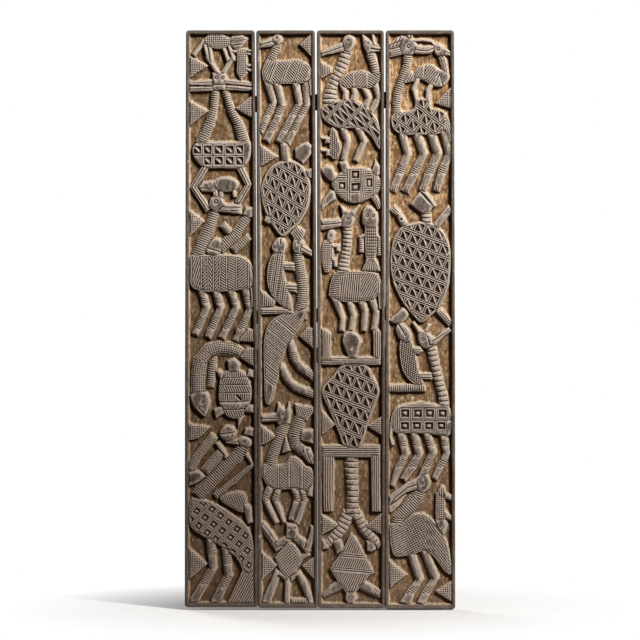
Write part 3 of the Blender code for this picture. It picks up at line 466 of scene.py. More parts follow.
def boxed(cells, depth=5.5, knob=0.75, slope=2.2, line_off=3.6):
    """Square pits of (left, right, low, high), each round a low knob, with a line round it."""

    def depth_at(spot):
        total = np.zeros(spot.u.shape)
        for left, right, low, high in cells:
            half_wide, half_tall = (right - left) / 2, (high - low) / 2
            out = np.maximum(
                np.abs(spot.u - left - half_wide) - half_wide,
                np.abs(spot.v - low - half_tall) - half_tall,
            )
            pit = depth * rising(-out, 0.0, slope)
            raised = knob * depth * rising(-out, half_wide * 0.42, half_wide * 0.72)
            round_it = 1.5 * notch(out - line_off, 1.3)
            total = np.maximum.reduce([total, pit - raised, round_it])
        return total

    return depth_at


def squares(origin, angle, pitch, side, depth=4.0, border=6.0):
    """Small square pits on a turned grid, each round a low knob."""

    def depth_at(spot):
        axes = turned_axes(spot.u - origin[0], spot.v - origin[1], angle)
        a, b = (np.abs((axis + pitch / 2) % pitch - pitch / 2) for axis in axes)
        out = np.maximum(a, b)
        knob = rising(-out, -side / 4, 1.5 - side / 4)
        pit = rising(-out, -side / 2, 1.8 - side / 2) - 0.55 * knob
        return depth * within(spot, border) * pit

    return depth_at


def beads(pitch, angle, depth=1.8, border=3.0):
    """Rows of round beads."""

    def depth_at(spot):
        a, b = turned_axes(spot.u, spot.v, angle)
        row = np.floor(b / pitch)
        across = (a / pitch + 0.5 * (row % 2)) % 1.0 - 0.5
        out = np.hypot(across, (b / pitch) % 1.0 - 0.5)
        return depth * within(spot, border) * rising(out, 0.22, 0.52)

    return depth_at


def panels(edges, low, high, angles, pitch=6.4, depth=2.4, margin=4.0, apart=2.6):
    """Upright panels between double lines at the edges, hatched at each panel's own angle."""

    def depth_at(spot):
        total = np.zeros(spot.u.shape)
        for left, right, angle in zip(edges, edges[1:], angles):
            held = (spot.u > left + margin) & (spot.u < right - margin)
            held &= (spot.v > low + margin) & (spot.v < high - margin)
            total = np.where(held, depth * furrow(turned(spot, angle), pitch, 0.7), total)
        for edge in edges:
            total = np.maximum(total, depth * notch(np.abs(spot.u - edge) - apart, 1.5))
        return total * within(spot, 5.0)

    return depth_at


def cuts_of(*cuts):
    """The deepest of several cuts."""
    return lambda spot: np.maximum.reduce([cut(spot) for cut in cuts])


# The figures of each plank, from its top to its foot, as in the CAD model. A few are drawn
# more closely than there, and board_3 has one ear more.

BOARD_1_FIGURES = {
    "top_lizard": smooth(
        (54, 1699), (68, 1718), (90, 1723), (112, 1720), (136, 1704), (134, 1688), (106, 1677),
        (74, 1682)
    ),
    "top_lizard_head": straight(
        (131, 1706), (150, 1722), (166, 1721), (187, 1708), (180, 1694), (166, 1679), (150, 1676),
        (131, 1688)
    ),
    "top_lizard_tail": strip(12, (56, 1700), (26, 1660)),
    "left_hand_outer": strip(10, (58, 1690), (70, 1645)),
    "left_hand_inner": strip(10, (73, 1688), (79, 1640)),
    "right_hand_inner": strip(10, (112, 1686), (129, 1642)),
    "right_hand_outer": strip(10, (130, 1690), (145, 1644)),
    "left_forearm": strip(14, (67, 1654), (100, 1600)),
    "right_forearm": strip(14, (144, 1654), (111, 1600)),
    "twin_heads": straight((82, 1606), (122, 1606), (123, 1553), (81, 1553)),
    "twin_left_beak": straight((11, 1579), (84, 1587), (84, 1551), (11, 1548)),
    "twin_right_beak": straight((120, 1588), (205, 1576), (205, 1552), (120, 1552)),
    "twin_left_neck": strip((20, 22, 30, 34), (90, 1558), (86, 1500), (72, 1450), (48, 1394)),
    "twin_right_neck": strip((18, 22, 28, 34), (116, 1558), (137, 1495), (160, 1450), (176, 1394)),
    "twin_body": smooth(
        (22, 1374), (38, 1397), (90, 1399), (150, 1400), (190, 1402), (198, 1384), (192, 1344),
        (165, 1319), (110, 1318), (60, 1320), (32, 1342)
    ),
    "twin_left_leg": strip((22, 18, 18), (64, 1328), (24, 1263), (68, 1195)),
    "twin_right_leg": strip((22, 18, 18), (160, 1328), (190, 1270), (158, 1215)),
    "side_lizard": straight((154, 1677), (186, 1678), (187, 1606), (168, 1580), (155, 1606)),
    "side_lizard_leg_1": strip(6, (184, 1673), (202, 1671)),
    "side_lizard_leg_2": strip(6, (184, 1663), (202, 1661)),
    "side_lizard_leg_3": strip(6, (184, 1627), (202, 1629)),
    "side_lizard_leg_4": strip(6, (184, 1615), (202, 1612)),
    "side_lizard_arm": strip(8, (156, 1670), (142, 1669)),
    "triangle_1": straight((12, 1656), (68, 1627), (11, 1590)),
    "triangle_2": straight((12, 1524), (68, 1491), (13, 1446)),
    "triangle_3": straight((150, 1499), (206, 1540), (206, 1468)),
    "pig": oval((121, 1270), (40, 23)),
    "pig_head": straight((90, 1283), (52, 1277), (40, 1262), (50, 1248), (90, 1247)),
    "pig_leg_1": strip(9, (93, 1256), (92, 1235)),
    "pig_leg_2": strip(9, (109, 1252), (108, 1235)),
    "pig_leg_3": strip(9, (146, 1258), (147, 1235)),
    "long_neck_head": smooth(
        (72, 1204), (76, 1228), (93, 1237), (110, 1230), (116, 1206), (92, 1188)
    ),
    "long_neck_snout": straight((106, 1214), (167, 1211), (167, 1182), (98, 1188)),
    "long_neck_horn_1": strip(6, (89, 1230), (87, 1248)),
    "long_neck_horn_2": strip(6, (102, 1230), (106, 1247)),
    "long_neck": strip((30, 32, 42, 42), (91, 1200), (76, 1150), (57, 1103), (38, 1050)),
    "long_neck_body": smooth(
        (18, 1058), (60, 1059), (110, 1060), (158, 1056), (190, 1040), (206, 1012), (205, 965),
        (160, 953), (100, 948), (45, 951), (16, 968), (11, 1015)
    ),
    "long_neck_tail": strip(9, (200, 972), (202, 904)),
    "long_neck_leg_1": strip((24, 22, 22), (46, 958), (64, 900), (30, 820)),
    "long_neck_leg_2": strip((24, 22, 22), (88, 958), (107, 900), (68, 812)),
    "long_neck_leg_3": strip((24, 22, 22), (134, 960), (153, 900), (110, 809)),
    "long_neck_leg_4": strip((24, 22, 22), (178, 962), (194, 895), (152, 801)),
    "right_lizard_tail": straight((172, 1180), (182, 1202), (205, 1202), (205, 1172), (190, 1168)),
    "right_lizard": strip((24, 30, 30), (192, 1184), (150, 1120), (104, 1078)),
    "right_lizard_arm_1": strip(20, (112, 1150), (150, 1106)),
    "right_lizard_arm_2": strip(22, (146, 1074), (190, 1112)),
    "right_lizard_head": smooth(
        (62, 1070), (82, 1106), (104, 1106), (112, 1084), (98, 1060), (76, 1058)
    ),
    "triangle_4": straight((10, 1197), (57, 1160), (12, 1114)),
    "curled_lizard": strip(
        (46, 50, 50, 48, 46, 42, 28), (38, 636), (39, 700), (46, 742), (70, 770), (105, 780),
        (140, 777), (172, 762)
    ),
    "curled_lizard_head": smooth(
        (18, 642), (17, 624), (24, 605), (38, 589), (57, 574), (68, 590), (74, 609), (73, 626),
        (60, 648)
    ),
    "curled_lizard_arm": strip(22, (86, 762), (82, 730), (75, 664)),
    "triangle_5": straight((160, 800), (188, 836), (206, 836), (206, 797)),
    "triangle_6": straight((164, 752), (184, 778), (206, 780), (206, 724)),
    "tortoise": smooth(
        (110, 700), (150, 714), (180, 702), (197, 662), (196, 622), (181, 594), (165, 570),
        (134, 570), (108, 598), (99, 640)
    ),
    "tortoise_head": straight((130, 706), (126, 742), (147, 752), (166, 731), (160, 706)),
    "tortoise_leg_1": straight((91, 711), (102, 717), (121, 697), (108, 682)),
    "tortoise_leg_2": straight((184, 694), (190, 714), (206, 714), (206, 690)),
    "tortoise_leg_3": straight((180, 606), (206, 609), (206, 584), (178, 587)),
    "tortoise_leg_4": straight((86, 596), (112, 606), (120, 586), (92, 567)),
    "tortoise_tail": straight((156, 575), (177, 575), (159, 541)),
    "triangle_7": straight((10, 553), (75, 543), (40, 508), (10, 502)),
    "low_lizard_head": smooth(
        (103, 516), (112, 541), (130, 548), (149, 538), (151, 514), (128, 499)
    ),
    "low_lizard_paw": straight((174, 519), (180, 540), (206, 540), (206, 514)),
    "low_lizard": strip(27, (86, 516), (34, 451), (12, 410)),
    "low_lizard_belly": strip(30, (108, 466), (58, 408)),
    "low_lizard_arm": strip(14, (97, 494), (125, 449)),
    "low_lizard_snout": straight((10, 409), (42, 412), (61, 393), (34, 374), (10, 364)),
    "crane_head": smooth((156, 500), (166, 514), (184, 513), (198, 500), (194, 484), (170, 482)),
    "crane_beak": straight((121, 501), (168, 511), (168, 486), (121, 494)),
    "crane_neck": strip((34, 38, 38, 40), (178, 490), (158, 456), (100, 402), (34, 334)),
    "crane_arm": strip((11, 11, 16, 18), (182, 462), (202, 428), (150, 384), (92, 336)),
    "pangolin": smooth(
        (104, 330), (124, 342), (164, 348), (183, 333), (180, 300), (168, 286), (118, 312)
    ),
    "pangolin_head": straight((172, 318), (198, 302), (203, 256), (187, 251), (178, 286)),
    "crane_body": smooth(
        (14, 318), (42, 326), (90, 310), (150, 272), (186, 242), (203, 190), (203, 114),
        (178, 106), (154, 149), (106, 187), (40, 223), (14, 252)
    ),
    "crane_tail": straight((174, 116), (206, 118), (206, 12), (126, 12)),
    "crane_leg_1": strip((28, 26, 28), (74, 215), (83, 117), (22, 12)),
    "crane_leg_2": strip((28, 26, 28), (122, 184), (130, 97), (88, 12)),
    "triangle_8": straight((12, 181), (66, 132), (12, 85)),
}

BOARD_2_FIGURES = {
    "bird_head": smooth((44, 1700), (50, 1716), (62, 1723), (74, 1714), (74, 1697), (58, 1690)),
    "bird_beak": straight((9, 1697), (32, 1707), (58, 1719), (58, 1692), (38, 1683), (9, 1679)),
    "bird_neck": strip((28, 28, 26, 28), (60, 1702), (58, 1682), (50, 1663), (40, 1640)),
    "bird_body": smooth(
        (22, 1630), (34, 1647), (76, 1641), (118, 1645), (148, 1634), (164, 1614), (162, 1586),
        (140, 1575), (90, 1573), (30, 1574), (15, 1600)
    ),
    "bird_tail": strip((14, 10, 6), (157, 1612), (161, 1570), (162, 1540)),
    "bird_leg_1": strip((24, 20, 20, 20), (28, 1590), (50, 1516), (38, 1490), (9, 1428)),
    "bird_leg_2": strip((22, 20, 22, 24), (54, 1590), (76, 1508), (60, 1466), (28, 1402)),
    "bird_leg_3": strip((22, 20, 22, 22), (112, 1590), (128, 1513), (96, 1456), (66, 1398)),
    "bird_leg_4": strip((22, 20, 20, 24), (146, 1590), (149, 1512), (116, 1442), (90, 1394)),
    "triangle_1": straight((128, 1690), (164, 1724), (164, 1653)),
    "triangle_2": straight((11, 1389), (62, 1355), (12, 1325)),
    "tortoise_neck": strip(24, (81, 1404), (86, 1330)),
    "pebble": straight(
        (113, 1377), (130, 1391), (150, 1397), (164, 1388), (163, 1362), (138, 1331), (116, 1350)
    ),
    "tortoise": smooth(
        (30, 1308), (60, 1335), (102, 1343), (135, 1326), (155, 1290), (161, 1250), (152, 1200),
        (130, 1158), (100, 1130), (76, 1114), (52, 1138), (30, 1175), (15, 1220), (12, 1262)
    ),
    "tortoise_leg_1": straight((146, 1314), (164, 1319), (164, 1288), (150, 1294)),
    "tortoise_leg_2": straight((21, 1160), (26, 1177), (42, 1176), (46, 1157), (34, 1151)),
    "diver_crest": straight((100, 1124), (122, 1147), (143, 1130), (134, 1100), (112, 1104)),
    "diver_head": smooth(
        (107, 1090), (113, 1112), (130, 1112), (143, 1090), (138, 1064), (112, 1064)
    ),
    "diver_beak": straight((132, 1094), (165, 1072), (165, 1055), (128, 1068)),
    "diver_neck": strip(
        (28, 30, 32, 33, 34, 40), (121, 1076), (126, 1030), (134, 990), (137, 950), (136, 915),
        (128, 870)
    ),
    "diver_body": smooth(
        (152, 900), (132, 845), (105, 803), (86, 775), (72, 725), (58, 670), (46, 622), (35, 609),
        (24, 625), (21, 700), (21, 800), (36, 852), (70, 878), (112, 888)
    ),
    "diver_leg_1": strip((22, 26, 26, 26), (96, 808), (112, 750), (130, 722), (172, 692)),
    "diver_leg_2": strip((22, 24, 26, 26), (70, 728), (92, 684), (112, 662), (172, 640)),
    "lizard_head": smooth(
        (45, 1082), (54, 1101), (70, 1112), (84, 1104), (88, 1082), (76, 1056), (54, 1058)
    ),
    "lizard": smooth(
        (54, 1066), (38, 1044), (30, 1004), (34, 962), (48, 932), (76, 906), (106, 888),
        (101, 926), (89, 965), (81, 1010), (80, 1062)
    ),
    "lizard_arm_1": strip(25, (72, 1025), (113, 1024)),
    "lizard_arm_2": strip(28, (82, 961), (119, 959)),
    "triangle_3": straight((12, 954), (57, 920), (50, 904), (12, 903)),
    "cross_bar": straight((12, 900), (106, 902), (106, 884), (12, 879)),
    "triangle_4": straight((127, 815), (150, 839), (170, 839), (170, 777)),
    "antelope_head": straight(
        (63, 617), (86, 592), (96, 617), (102, 590), (99, 552), (66, 548), (58, 560), (12, 556),
        (12, 578), (58, 585)
    ),
    "antelope_neck": strip(
        (34, 34, 30, 30, 32), (84, 568), (74, 528), (60, 490), (46, 452), (38, 410)
    ),
    "antelope_body": smooth(
        (22, 430), (60, 428), (84, 432), (98, 449), (115, 452), (131, 440), (144, 424), (166, 412),
        (169, 374), (148, 352), (110, 357), (70, 354), (38, 361), (17, 395)
    ),
    "antelope_rump": strip((16, 16), (161, 392), (159, 336)),
    "antelope_leg_1": strip((24, 20, 18, 14), (46, 372), (24, 326), (42, 288), (58, 256)),
    "antelope_leg_2": strip((20, 18, 16, 10), (68, 370), (54, 326), (66, 298), (80, 258)),
    "antelope_leg_3": strip((20, 20, 20), (108, 370), (121, 326), (104, 264)),
    "antelope_leg_4": strip((22, 20, 20), (134, 370), (142, 322), (118, 254)),
    "stork_shoulder": straight((115, 611), (172, 602), (172, 592), (150, 560), (118, 572)),
    "stork_neck": strip(
        (38, 38, 38, 38, 30, 24), (142, 600), (126, 556), (114, 514), (116, 488), (140, 467),
        (158, 458)
    ),
    "stork_head": straight((138, 484), (160, 478), (172, 455), (172, 430), (154, 434), (136, 458)),
    "stork_paw": straight((134, 533), (170, 537), (170, 492), (130, 502)),
    "triangle_5": straight((86, 513), (100, 472), (75, 463)),
    "triangle_6": straight((11, 549), (57, 514), (30, 495), (12, 488)),
    "spread_left_arm": strip((26, 26, 24), (12, 250), (38, 218), (66, 176)),
    "spread_left_shoulder": strip(22, (56, 188), (96, 208)),
    "spread_head": straight((88, 253), (120, 253), (121, 206), (87, 206)),
    "spread_right_shoulder": strip((28, 24, 16), (108, 216), (138, 194), (153, 168)),
    "spread_right_arm": strip((18, 18, 16), (148, 172), (162, 205), (170, 242)),
    "spread_body": straight(
        (54, 150), (75, 176), (94, 198), (113, 190), (139, 146), (116, 108), (91, 84), (70, 112)
    ),
    "spread_right_side": strip(12, (130, 147), (153, 161)),
    "spread_left_leg": strip((22, 24, 24, 26), (92, 90), (62, 104), (48, 66), (25, 12)),
    "spread_right_leg": strip((22, 24, 22, 18), (100, 90), (124, 102), (144, 66), (162, 12)),
    "spread_tail": strip(16, (93, 100), (91, 12)),
    "spread_mat": straight((103, 28), (150, 28), (154, 12), (103, 12)),
    "triangle_7": straight((12, 170), (62, 128), (12, 80)),
    "triangle_8": straight((135, 126), (174, 154), (174, 84)),
}

BOARD_3_FIGURES = {
    "bird_head": smooth(
        (74, 1690), (80, 1712), (94, 1720), (108, 1712), (111, 1694), (102, 1672), (84, 1668)
    ),
    "bird_beak": straight(
        (82, 1700), (55, 1690), (25, 1680), (10, 1669), (10, 1653), (30, 1660), (62, 1666),
        (82, 1670)
    ),
    "bird_neck": strip(
        (34, 36, 34, 32, 32, 44, 50), (90, 1682), (80, 1645), (67, 1612), (52, 1585), (42, 1560),
        (38, 1530), (36, 1476)
    ),
    "hound_head": straight(
        (133, 1725), (150, 1708), (168, 1695), (192, 1684), (192, 1671), (168, 1667), (150, 1660),
        (137, 1684)
    ),
    "hound_neck": strip((26, 26, 24, 24), (150, 1694), (160, 1655), (172, 1620), (178, 1590)),
    "hound_body": smooth(
        (66, 1580), (78, 1595), (104, 1608), (136, 1612), (164, 1603), (190, 1606), (188, 1584),
        (162, 1561), (112, 1559), (76, 1561)
    ),
    "hound_leg_1": strip(16, (74, 1572), (84, 1545), (80, 1512)),
    "hound_leg_2": strip(17, (106, 1572), (112, 1542), (102, 1512)),
    "hound_leg_3": strip(18, (134, 1572), (154, 1530), (140, 1498)),
    "hound_leg_4": strip(18, (170, 1580), (183, 1530), (158, 1484)),
    "bird_body": smooth(
        (12, 1502), (17, 1468), (60, 1441), (118, 1439), (145, 1430), (165, 1410), (185, 1376),
        (191, 1402), (187, 1440), (170, 1480), (134, 1512), (98, 1525), (60, 1522)
    ),
    "bird_leg_1": strip((22, 20, 18), (70, 1454), (90, 1400), (78, 1344)),
    "bird_leg_2": strip((22, 20, 18), (114, 1454), (140, 1400), (115, 1342)),
    "triangle_1": straight((10, 1638), (44, 1622), (42, 1606), (10, 1588)),
    "small_lizard": smooth(
        (37, 1430), (45, 1442), (54, 1430), (61, 1408), (69, 1382), (64, 1356), (50, 1346),
        (38, 1360), (35, 1395)
    ),
    "small_lizard_arm_1": straight(
        (8, 1415), (40, 1413), (40, 1394), (22, 1394), (22, 1405), (8, 1406)
    ),
    "small_lizard_arm_2": straight(
        (8, 1378), (40, 1376), (40, 1356), (24, 1356), (24, 1368), (8, 1369)
    ),
    "tortoise": smooth(
        (64, 1302), (94, 1319), (125, 1322), (154, 1317), (178, 1299), (194, 1275), (180, 1245),
        (152, 1226), (126, 1215), (92, 1217), (60, 1240), (42, 1272)
    ),
    "tortoise_head": smooth(
        (9, 1316), (28, 1327), (46, 1321), (52, 1304), (60, 1290), (44, 1278), (22, 1294)
    ),
    "tortoise_leg_1": straight((65, 1337), (84, 1346), (93, 1328), (92, 1300), (76, 1300)),
    "tortoise_leg_2": straight((162, 1312), (174, 1343), (188, 1326), (186, 1300), (172, 1290)),
    "tortoise_leg_3": strip((22, 18, 14), (164, 1242), (179, 1218), (186, 1200)),
    "tortoise_leg_4": straight(
        (38, 1253), (54, 1251), (54, 1226), (34, 1214), (12, 1192), (10, 1212), (20, 1230)
    ),
    "long_neck_ear_1": straight((67, 1210), (90, 1190), (76, 1176)),
    "long_neck_ear_2": straight((126, 1209), (96, 1188), (110, 1174)),
    "long_neck_head": smooth(
        (71, 1152), (75, 1178), (90, 1192), (104, 1185), (109, 1160), (98, 1140), (80, 1140)
    ),
    "long_neck_beak": straight((80, 1168), (10, 1165), (10, 1131), (60, 1141), (80, 1148)),
    "long_neck": strip(
        (32, 26, 26, 29, 40), (90, 1160), (90, 1115), (88, 1080), (82, 1048), (74, 998)
    ),
    "tall_lizard_head": smooth(
        (134, 1166), (137, 1193), (150, 1206), (168, 1198), (180, 1176), (177, 1146), (156, 1138),
        (138, 1148)
    ),
    "tall_lizard": straight(
        (142, 1156), (178, 1156), (181, 1105), (174, 1048), (146, 1048), (141, 1100)
    ),
    "tall_lizard_arm_1": strip(13, (146, 1118), (131, 1112), (131, 1069)),
    "tall_lizard_arm_2": strip(10, (176, 1116), (185, 1108), (185, 1060)),
    "tall_lizard_fan": straight(
        (148, 1054), (172, 1054), (183, 1030), (190, 1010), (132, 1010), (143, 1035)
    ),
    "little_lizard_head": smooth(
        (28, 1113), (34, 1131), (46, 1134), (52, 1119), (45, 1096), (32, 1096)
    ),
    "little_lizard": smooth(
        (14, 1090), (30, 1104), (46, 1092), (46, 1050), (38, 1012), (22, 1007), (12, 1040)
    ),
    "little_lizard_arm_1": straight(
        (42, 1091), (66, 1090), (66, 1069), (56, 1069), (56, 1080), (42, 1080)
    ),
    "little_lizard_arm_2": straight(
        (42, 1051), (58, 1050), (58, 1023), (48, 1023), (47, 1040), (42, 1040)
    ),
    "long_neck_body": straight(
        (50, 1005), (100, 1010), (165, 1007), (183, 1000), (193, 975), (193, 896), (184, 896),
        (181, 940), (168, 923), (120, 917), (80, 917), (50, 926), (33, 937), (36, 965), (43, 990)
    ),
    "long_neck_leg_1": strip((26, 18, 16, 16), (48, 938), (66, 894), (75, 868), (72, 832)),
    "long_neck_leg_2": strip((20, 18, 18), (92, 930), (107, 878), (100, 832)),
    "long_neck_leg_3": strip((22, 20, 18), (128, 930), (142, 890), (138, 832)),
    "long_neck_leg_4": strip((22, 18, 18), (158, 938), (176, 888), (169, 834)),
    "cup_left": straight((14, 836), (26, 834), (38, 824), (40, 740), (14, 740)),
    "cup_base": straight((12, 753), (190, 753), (190, 729), (12, 729)),
    "cup_right": straight((166, 832), (178, 836), (190, 828), (190, 740), (168, 740)),
    "cup_head": straight(
        (77, 820), (88, 831), (106, 830), (122, 818), (133, 797), (124, 775), (119, 748),
        (93, 748), (84, 772), (74, 798)
    ),
    "great_shell": smooth(
        (74, 727), (110, 731), (147, 727), (166, 695), (185, 652), (172, 606), (150, 548),
        (128, 484), (82, 484), (58, 540), (32, 600), (12, 652), (42, 692)
    ),
    "triangle_2": straight((11, 594), (55, 550), (13, 518)),
    "triangle_3": straight((149, 546), (194, 576), (194, 517)),
    "gate_top": straight((14, 488), (187, 488), (187, 451), (14, 451)),
    "gate_left": straight((14, 460), (50, 460), (46, 289), (18, 289)),
    "gate_right": straight((160, 460), (187, 460), (189, 288), (163, 289)),
    "trunk": strip(
        (42, 38, 36, 38, 46), (101, 462), (102, 400), (104, 350), (104, 310), (105, 279)
    ),
    "left_root": strip((38, 36, 34, 20), (94, 282), (72, 240), (46, 205), (22, 186)),
    "left_root_hand": strip(24, (56, 206), (67, 166)),
    "right_root": strip((32, 32, 30, 18), (116, 282), (138, 238), (164, 206), (186, 184)),
    "right_root_hand": straight((146, 202), (172, 198), (175, 175), (162, 167), (149, 170)),
    "triangle_4": straight((11, 281), (64, 248), (12, 218)),
    "triangle_5": straight((142, 243), (193, 285), (193, 220)),
    "paw": straight((14, 206), (36, 193), (34, 178), (14, 174)),
    "diamond": straight(
        (100, 225), (122, 196), (146, 150), (169, 106), (154, 96), (136, 72), (112, 44), (86, 44),
        (60, 78), (37, 116), (60, 150), (84, 190)
    ),
    "diamond_leg_1": strip((30, 28, 20), (124, 72), (160, 54), (188, 40)),
    "diamond_leg_2": strip((30, 26, 14), (74, 72), (44, 56), (18, 36)),
    "diamond_head": straight((86, 48), (112, 48), (118, 26), (108, 11), (90, 11), (83, 26)),
    "hound_ear": strip((6, 8), (165, 1720), (170, 1692)),
}

BOARD_4_FIGURES = {
    "horned_head": smooth(
        (48, 1662), (42, 1688), (52, 1712), (74, 1710), (91, 1697), (93, 1678), (80, 1660)
    ),
    "horned_topknot": oval((71, 1715), (11, 11), 10),
    "horned_upper_jaw": straight(
        (11, 1690), (28, 1707), (48, 1718), (60, 1712), (54, 1686), (11, 1676)
    ),
    "horned_lower_jaw": straight((11, 1671), (46, 1684), (58, 1662), (11, 1651)),
    "horn_rim": strip((8, 7, 7, 9), (82, 1702), (112, 1704), (138, 1699), (149, 1686)),
    "horn": smooth((84, 1687), (116, 1686), (149, 1688), (140, 1668), (116, 1661), (86, 1664)),
    "bird_head": smooth(
        (145, 1676), (154, 1691), (169, 1690), (181, 1672), (174, 1657), (152, 1657)
    ),
    "bird_beak": straight((172, 1683), (198, 1669), (198, 1655), (170, 1658)),
    "bird_neck": strip((22, 20, 18), (163, 1674), (172, 1640), (183, 1600)),
    "horned_neck": strip(
        (28, 22, 22, 22, 22, 22, 32), (68, 1672), (64, 1630), (54, 1600), (45, 1572), (36, 1545),
        (33, 1510), (36, 1470)
    ),
    "bird_wing": straight((54, 1573), (84, 1580), (92, 1592), (76, 1611), (62, 1594)),
    "bird_body": smooth(
        (84, 1592), (92, 1616), (112, 1628), (140, 1630), (160, 1617), (188, 1606), (191, 1586),
        (174, 1567), (148, 1564), (112, 1584)
    ),
    "bird_leg_1": strip(13, (99, 1596), (85, 1556), (96, 1510)),
    "bird_leg_2": strip(15, (142, 1576), (128, 1554), (128, 1510)),
    "triangle_1": straight((150, 1514), (198, 1565), (198, 1498)),
    "horned_body": smooth(
        (18, 1476), (48, 1488), (84, 1496), (93, 1522), (112, 1529), (131, 1518), (138, 1499),
        (168, 1493), (189, 1468), (200, 1402), (192, 1399), (180, 1429), (150, 1420), (100, 1420),
        (50, 1421), (22, 1440)
    ),
    "horned_leg_1": strip((24, 22, 24, 24), (48, 1432), (66, 1362), (44, 1306), (22, 1252)),
    "horned_leg_2": strip((26, 26, 26, 24), (90, 1432), (114, 1362), (90, 1310), (60, 1250)),
    "horned_leg_3": strip((26, 26, 26, 22), (134, 1432), (156, 1364), (134, 1310), (110, 1252)),
    "horned_leg_4": strip((20, 22, 26, 20), (171, 1440), (190, 1362), (170, 1310), (153, 1252)),
    "tortoise_head": straight(
        (104, 1250), (126, 1226), (146, 1206), (134, 1190), (112, 1183), (92, 1196), (74, 1211),
        (90, 1232)
    ),
    "tortoise_jaw": strip(10, (110, 1254), (134, 1226), (147, 1206)),
    "tortoise_neck": strip(28, (120, 1200), (124, 1146)),
    "tortoise_leg_1": strip((24, 20, 22), (20, 1200), (40, 1180), (60, 1144)),
    "tortoise_leg_2": strip((24, 20, 22), (195, 1198), (172, 1172), (148, 1140)),
    "tortoise": smooth(
        (45, 1140), (78, 1153), (112, 1158), (150, 1148), (178, 1120), (194, 1074), (195, 1016),
        (187, 962), (166, 907), (135, 875), (108, 856), (80, 880), (46, 925), (22, 980),
        (14, 1040), (22, 1100)
    ),
    "tortoise_foot_1": smooth((12, 862), (34, 884), (52, 899), (68, 882), (58, 862), (34, 852)),
    "tortoise_foot_2": strip((26, 22, 20), (142, 910), (172, 878), (196, 852)),
    "beaded_lizard_head": smooth(
        (35, 850), (47, 857), (69, 836), (79, 808), (62, 794), (40, 808), (31, 832)
    ),
    "beaded_lizard": smooth(
        (46, 806), (42, 765), (50, 715), (68, 686), (96, 666), (120, 650), (110, 684), (99, 712),
        (90, 760), (74, 806)
    ),
    "beaded_lizard_tail": straight((10, 669), (112, 671), (119, 649), (10, 648)),
    "beaded_lizard_arm_1": straight((80, 782), (104, 783), (112, 770), (100, 761), (82, 761)),
    "beaded_lizard_arm_2": strip(19, (90, 695), (138, 695)),
    "deer_ear_1": strip((8, 12), (85, 854), (106, 820)),
    "deer_ear_2": strip((12, 8), (116, 820), (129, 848)),
    "deer_head": smooth(
        (99, 826), (120, 832), (138, 812), (148, 790), (130, 777), (110, 782), (98, 804)
    ),
    "deer_beak": straight(
        (124, 816), (150, 812), (172, 831), (190, 840), (198, 830), (176, 814), (150, 788),
        (130, 786)
    ),
    "deer_neck": strip(
        (30, 28, 26, 28, 28, 32), (130, 806), (142, 755), (150, 720), (160, 680), (172, 635),
        (177, 590)
    ),
    "deer_body": smooth(
        (30, 602), (70, 612), (110, 618), (150, 610), (190, 603), (199, 560), (191, 516),
        (140, 520), (80, 524), (28, 526), (15, 560)
    ),
    "deer_tail": strip((12, 10, 8), (20, 550), (14, 515), (20, 490)),
    "deer_leg_1": strip((24, 24, 22, 16), (44, 536), (60, 462), (40, 420), (20, 366)),
    "deer_leg_2": strip((22, 26, 24, 20), (80, 534), (101, 462), (78, 418), (54, 384)),
    "deer_leg_3": strip((22, 22, 24, 20), (121, 532), (142, 464), (122, 420), (110, 394)),
    "deer_leg_4": strip((22, 20, 22, 18), (171, 532), (184, 464), (164, 420), (147, 388)),
    "crane_head": smooth((92, 388), (119, 403), (134, 382), (130, 358), (112, 344), (94, 356)),
    "crane_beak": straight(
        (98, 392), (60, 372), (30, 350), (10, 334), (10, 308), (30, 322), (60, 344), (98, 358)
    ),
    "crane_lower_beak": straight((10, 304), (42, 327), (60, 338), (46, 312), (20, 286), (10, 284)),
    "crane_neck": strip(
        (40, 46, 48, 46, 40), (110, 374), (96, 330), (68, 300), (40, 270), (36, 238)
    ),
    "crane_body": smooth(
        (14, 248), (48, 250), (64, 270), (92, 282), (120, 280), (150, 254), (178, 210), (194, 150),
        (197, 102), (178, 110), (146, 152), (116, 170), (70, 157), (22, 162)
    ),
    "side_lizard_head": smooth((156, 350), (169, 367), (181, 352), (176, 334), (160, 334)),
    "side_lizard": straight((151, 346), (178, 346), (181, 258), (150, 258)),
    "side_lizard_snout": smooth((151, 264), (181, 264), (184, 238), (174, 218), (158, 232)),
    "side_lizard_arm_1": straight((175, 349), (200, 338), (200, 321), (175, 328)),
    "side_lizard_arm_2": straight((175, 291), (200, 277), (200, 261), (175, 268)),
    "crane_leg_1": strip((24, 24, 26, 32), (74, 172), (103, 85), (78, 48), (58, 11)),
    "crane_leg_2": strip((24, 26, 24, 24), (114, 178), (150, 88), (124, 48), (106, 11)),
    "triangle_2": straight((10, 144), (64, 100), (14, 60)),
    "triangle_3": straight((150, 50), (198, 82), (198, 18)),
}

# What is cut into each figure. A figure that isn't named here is plain.


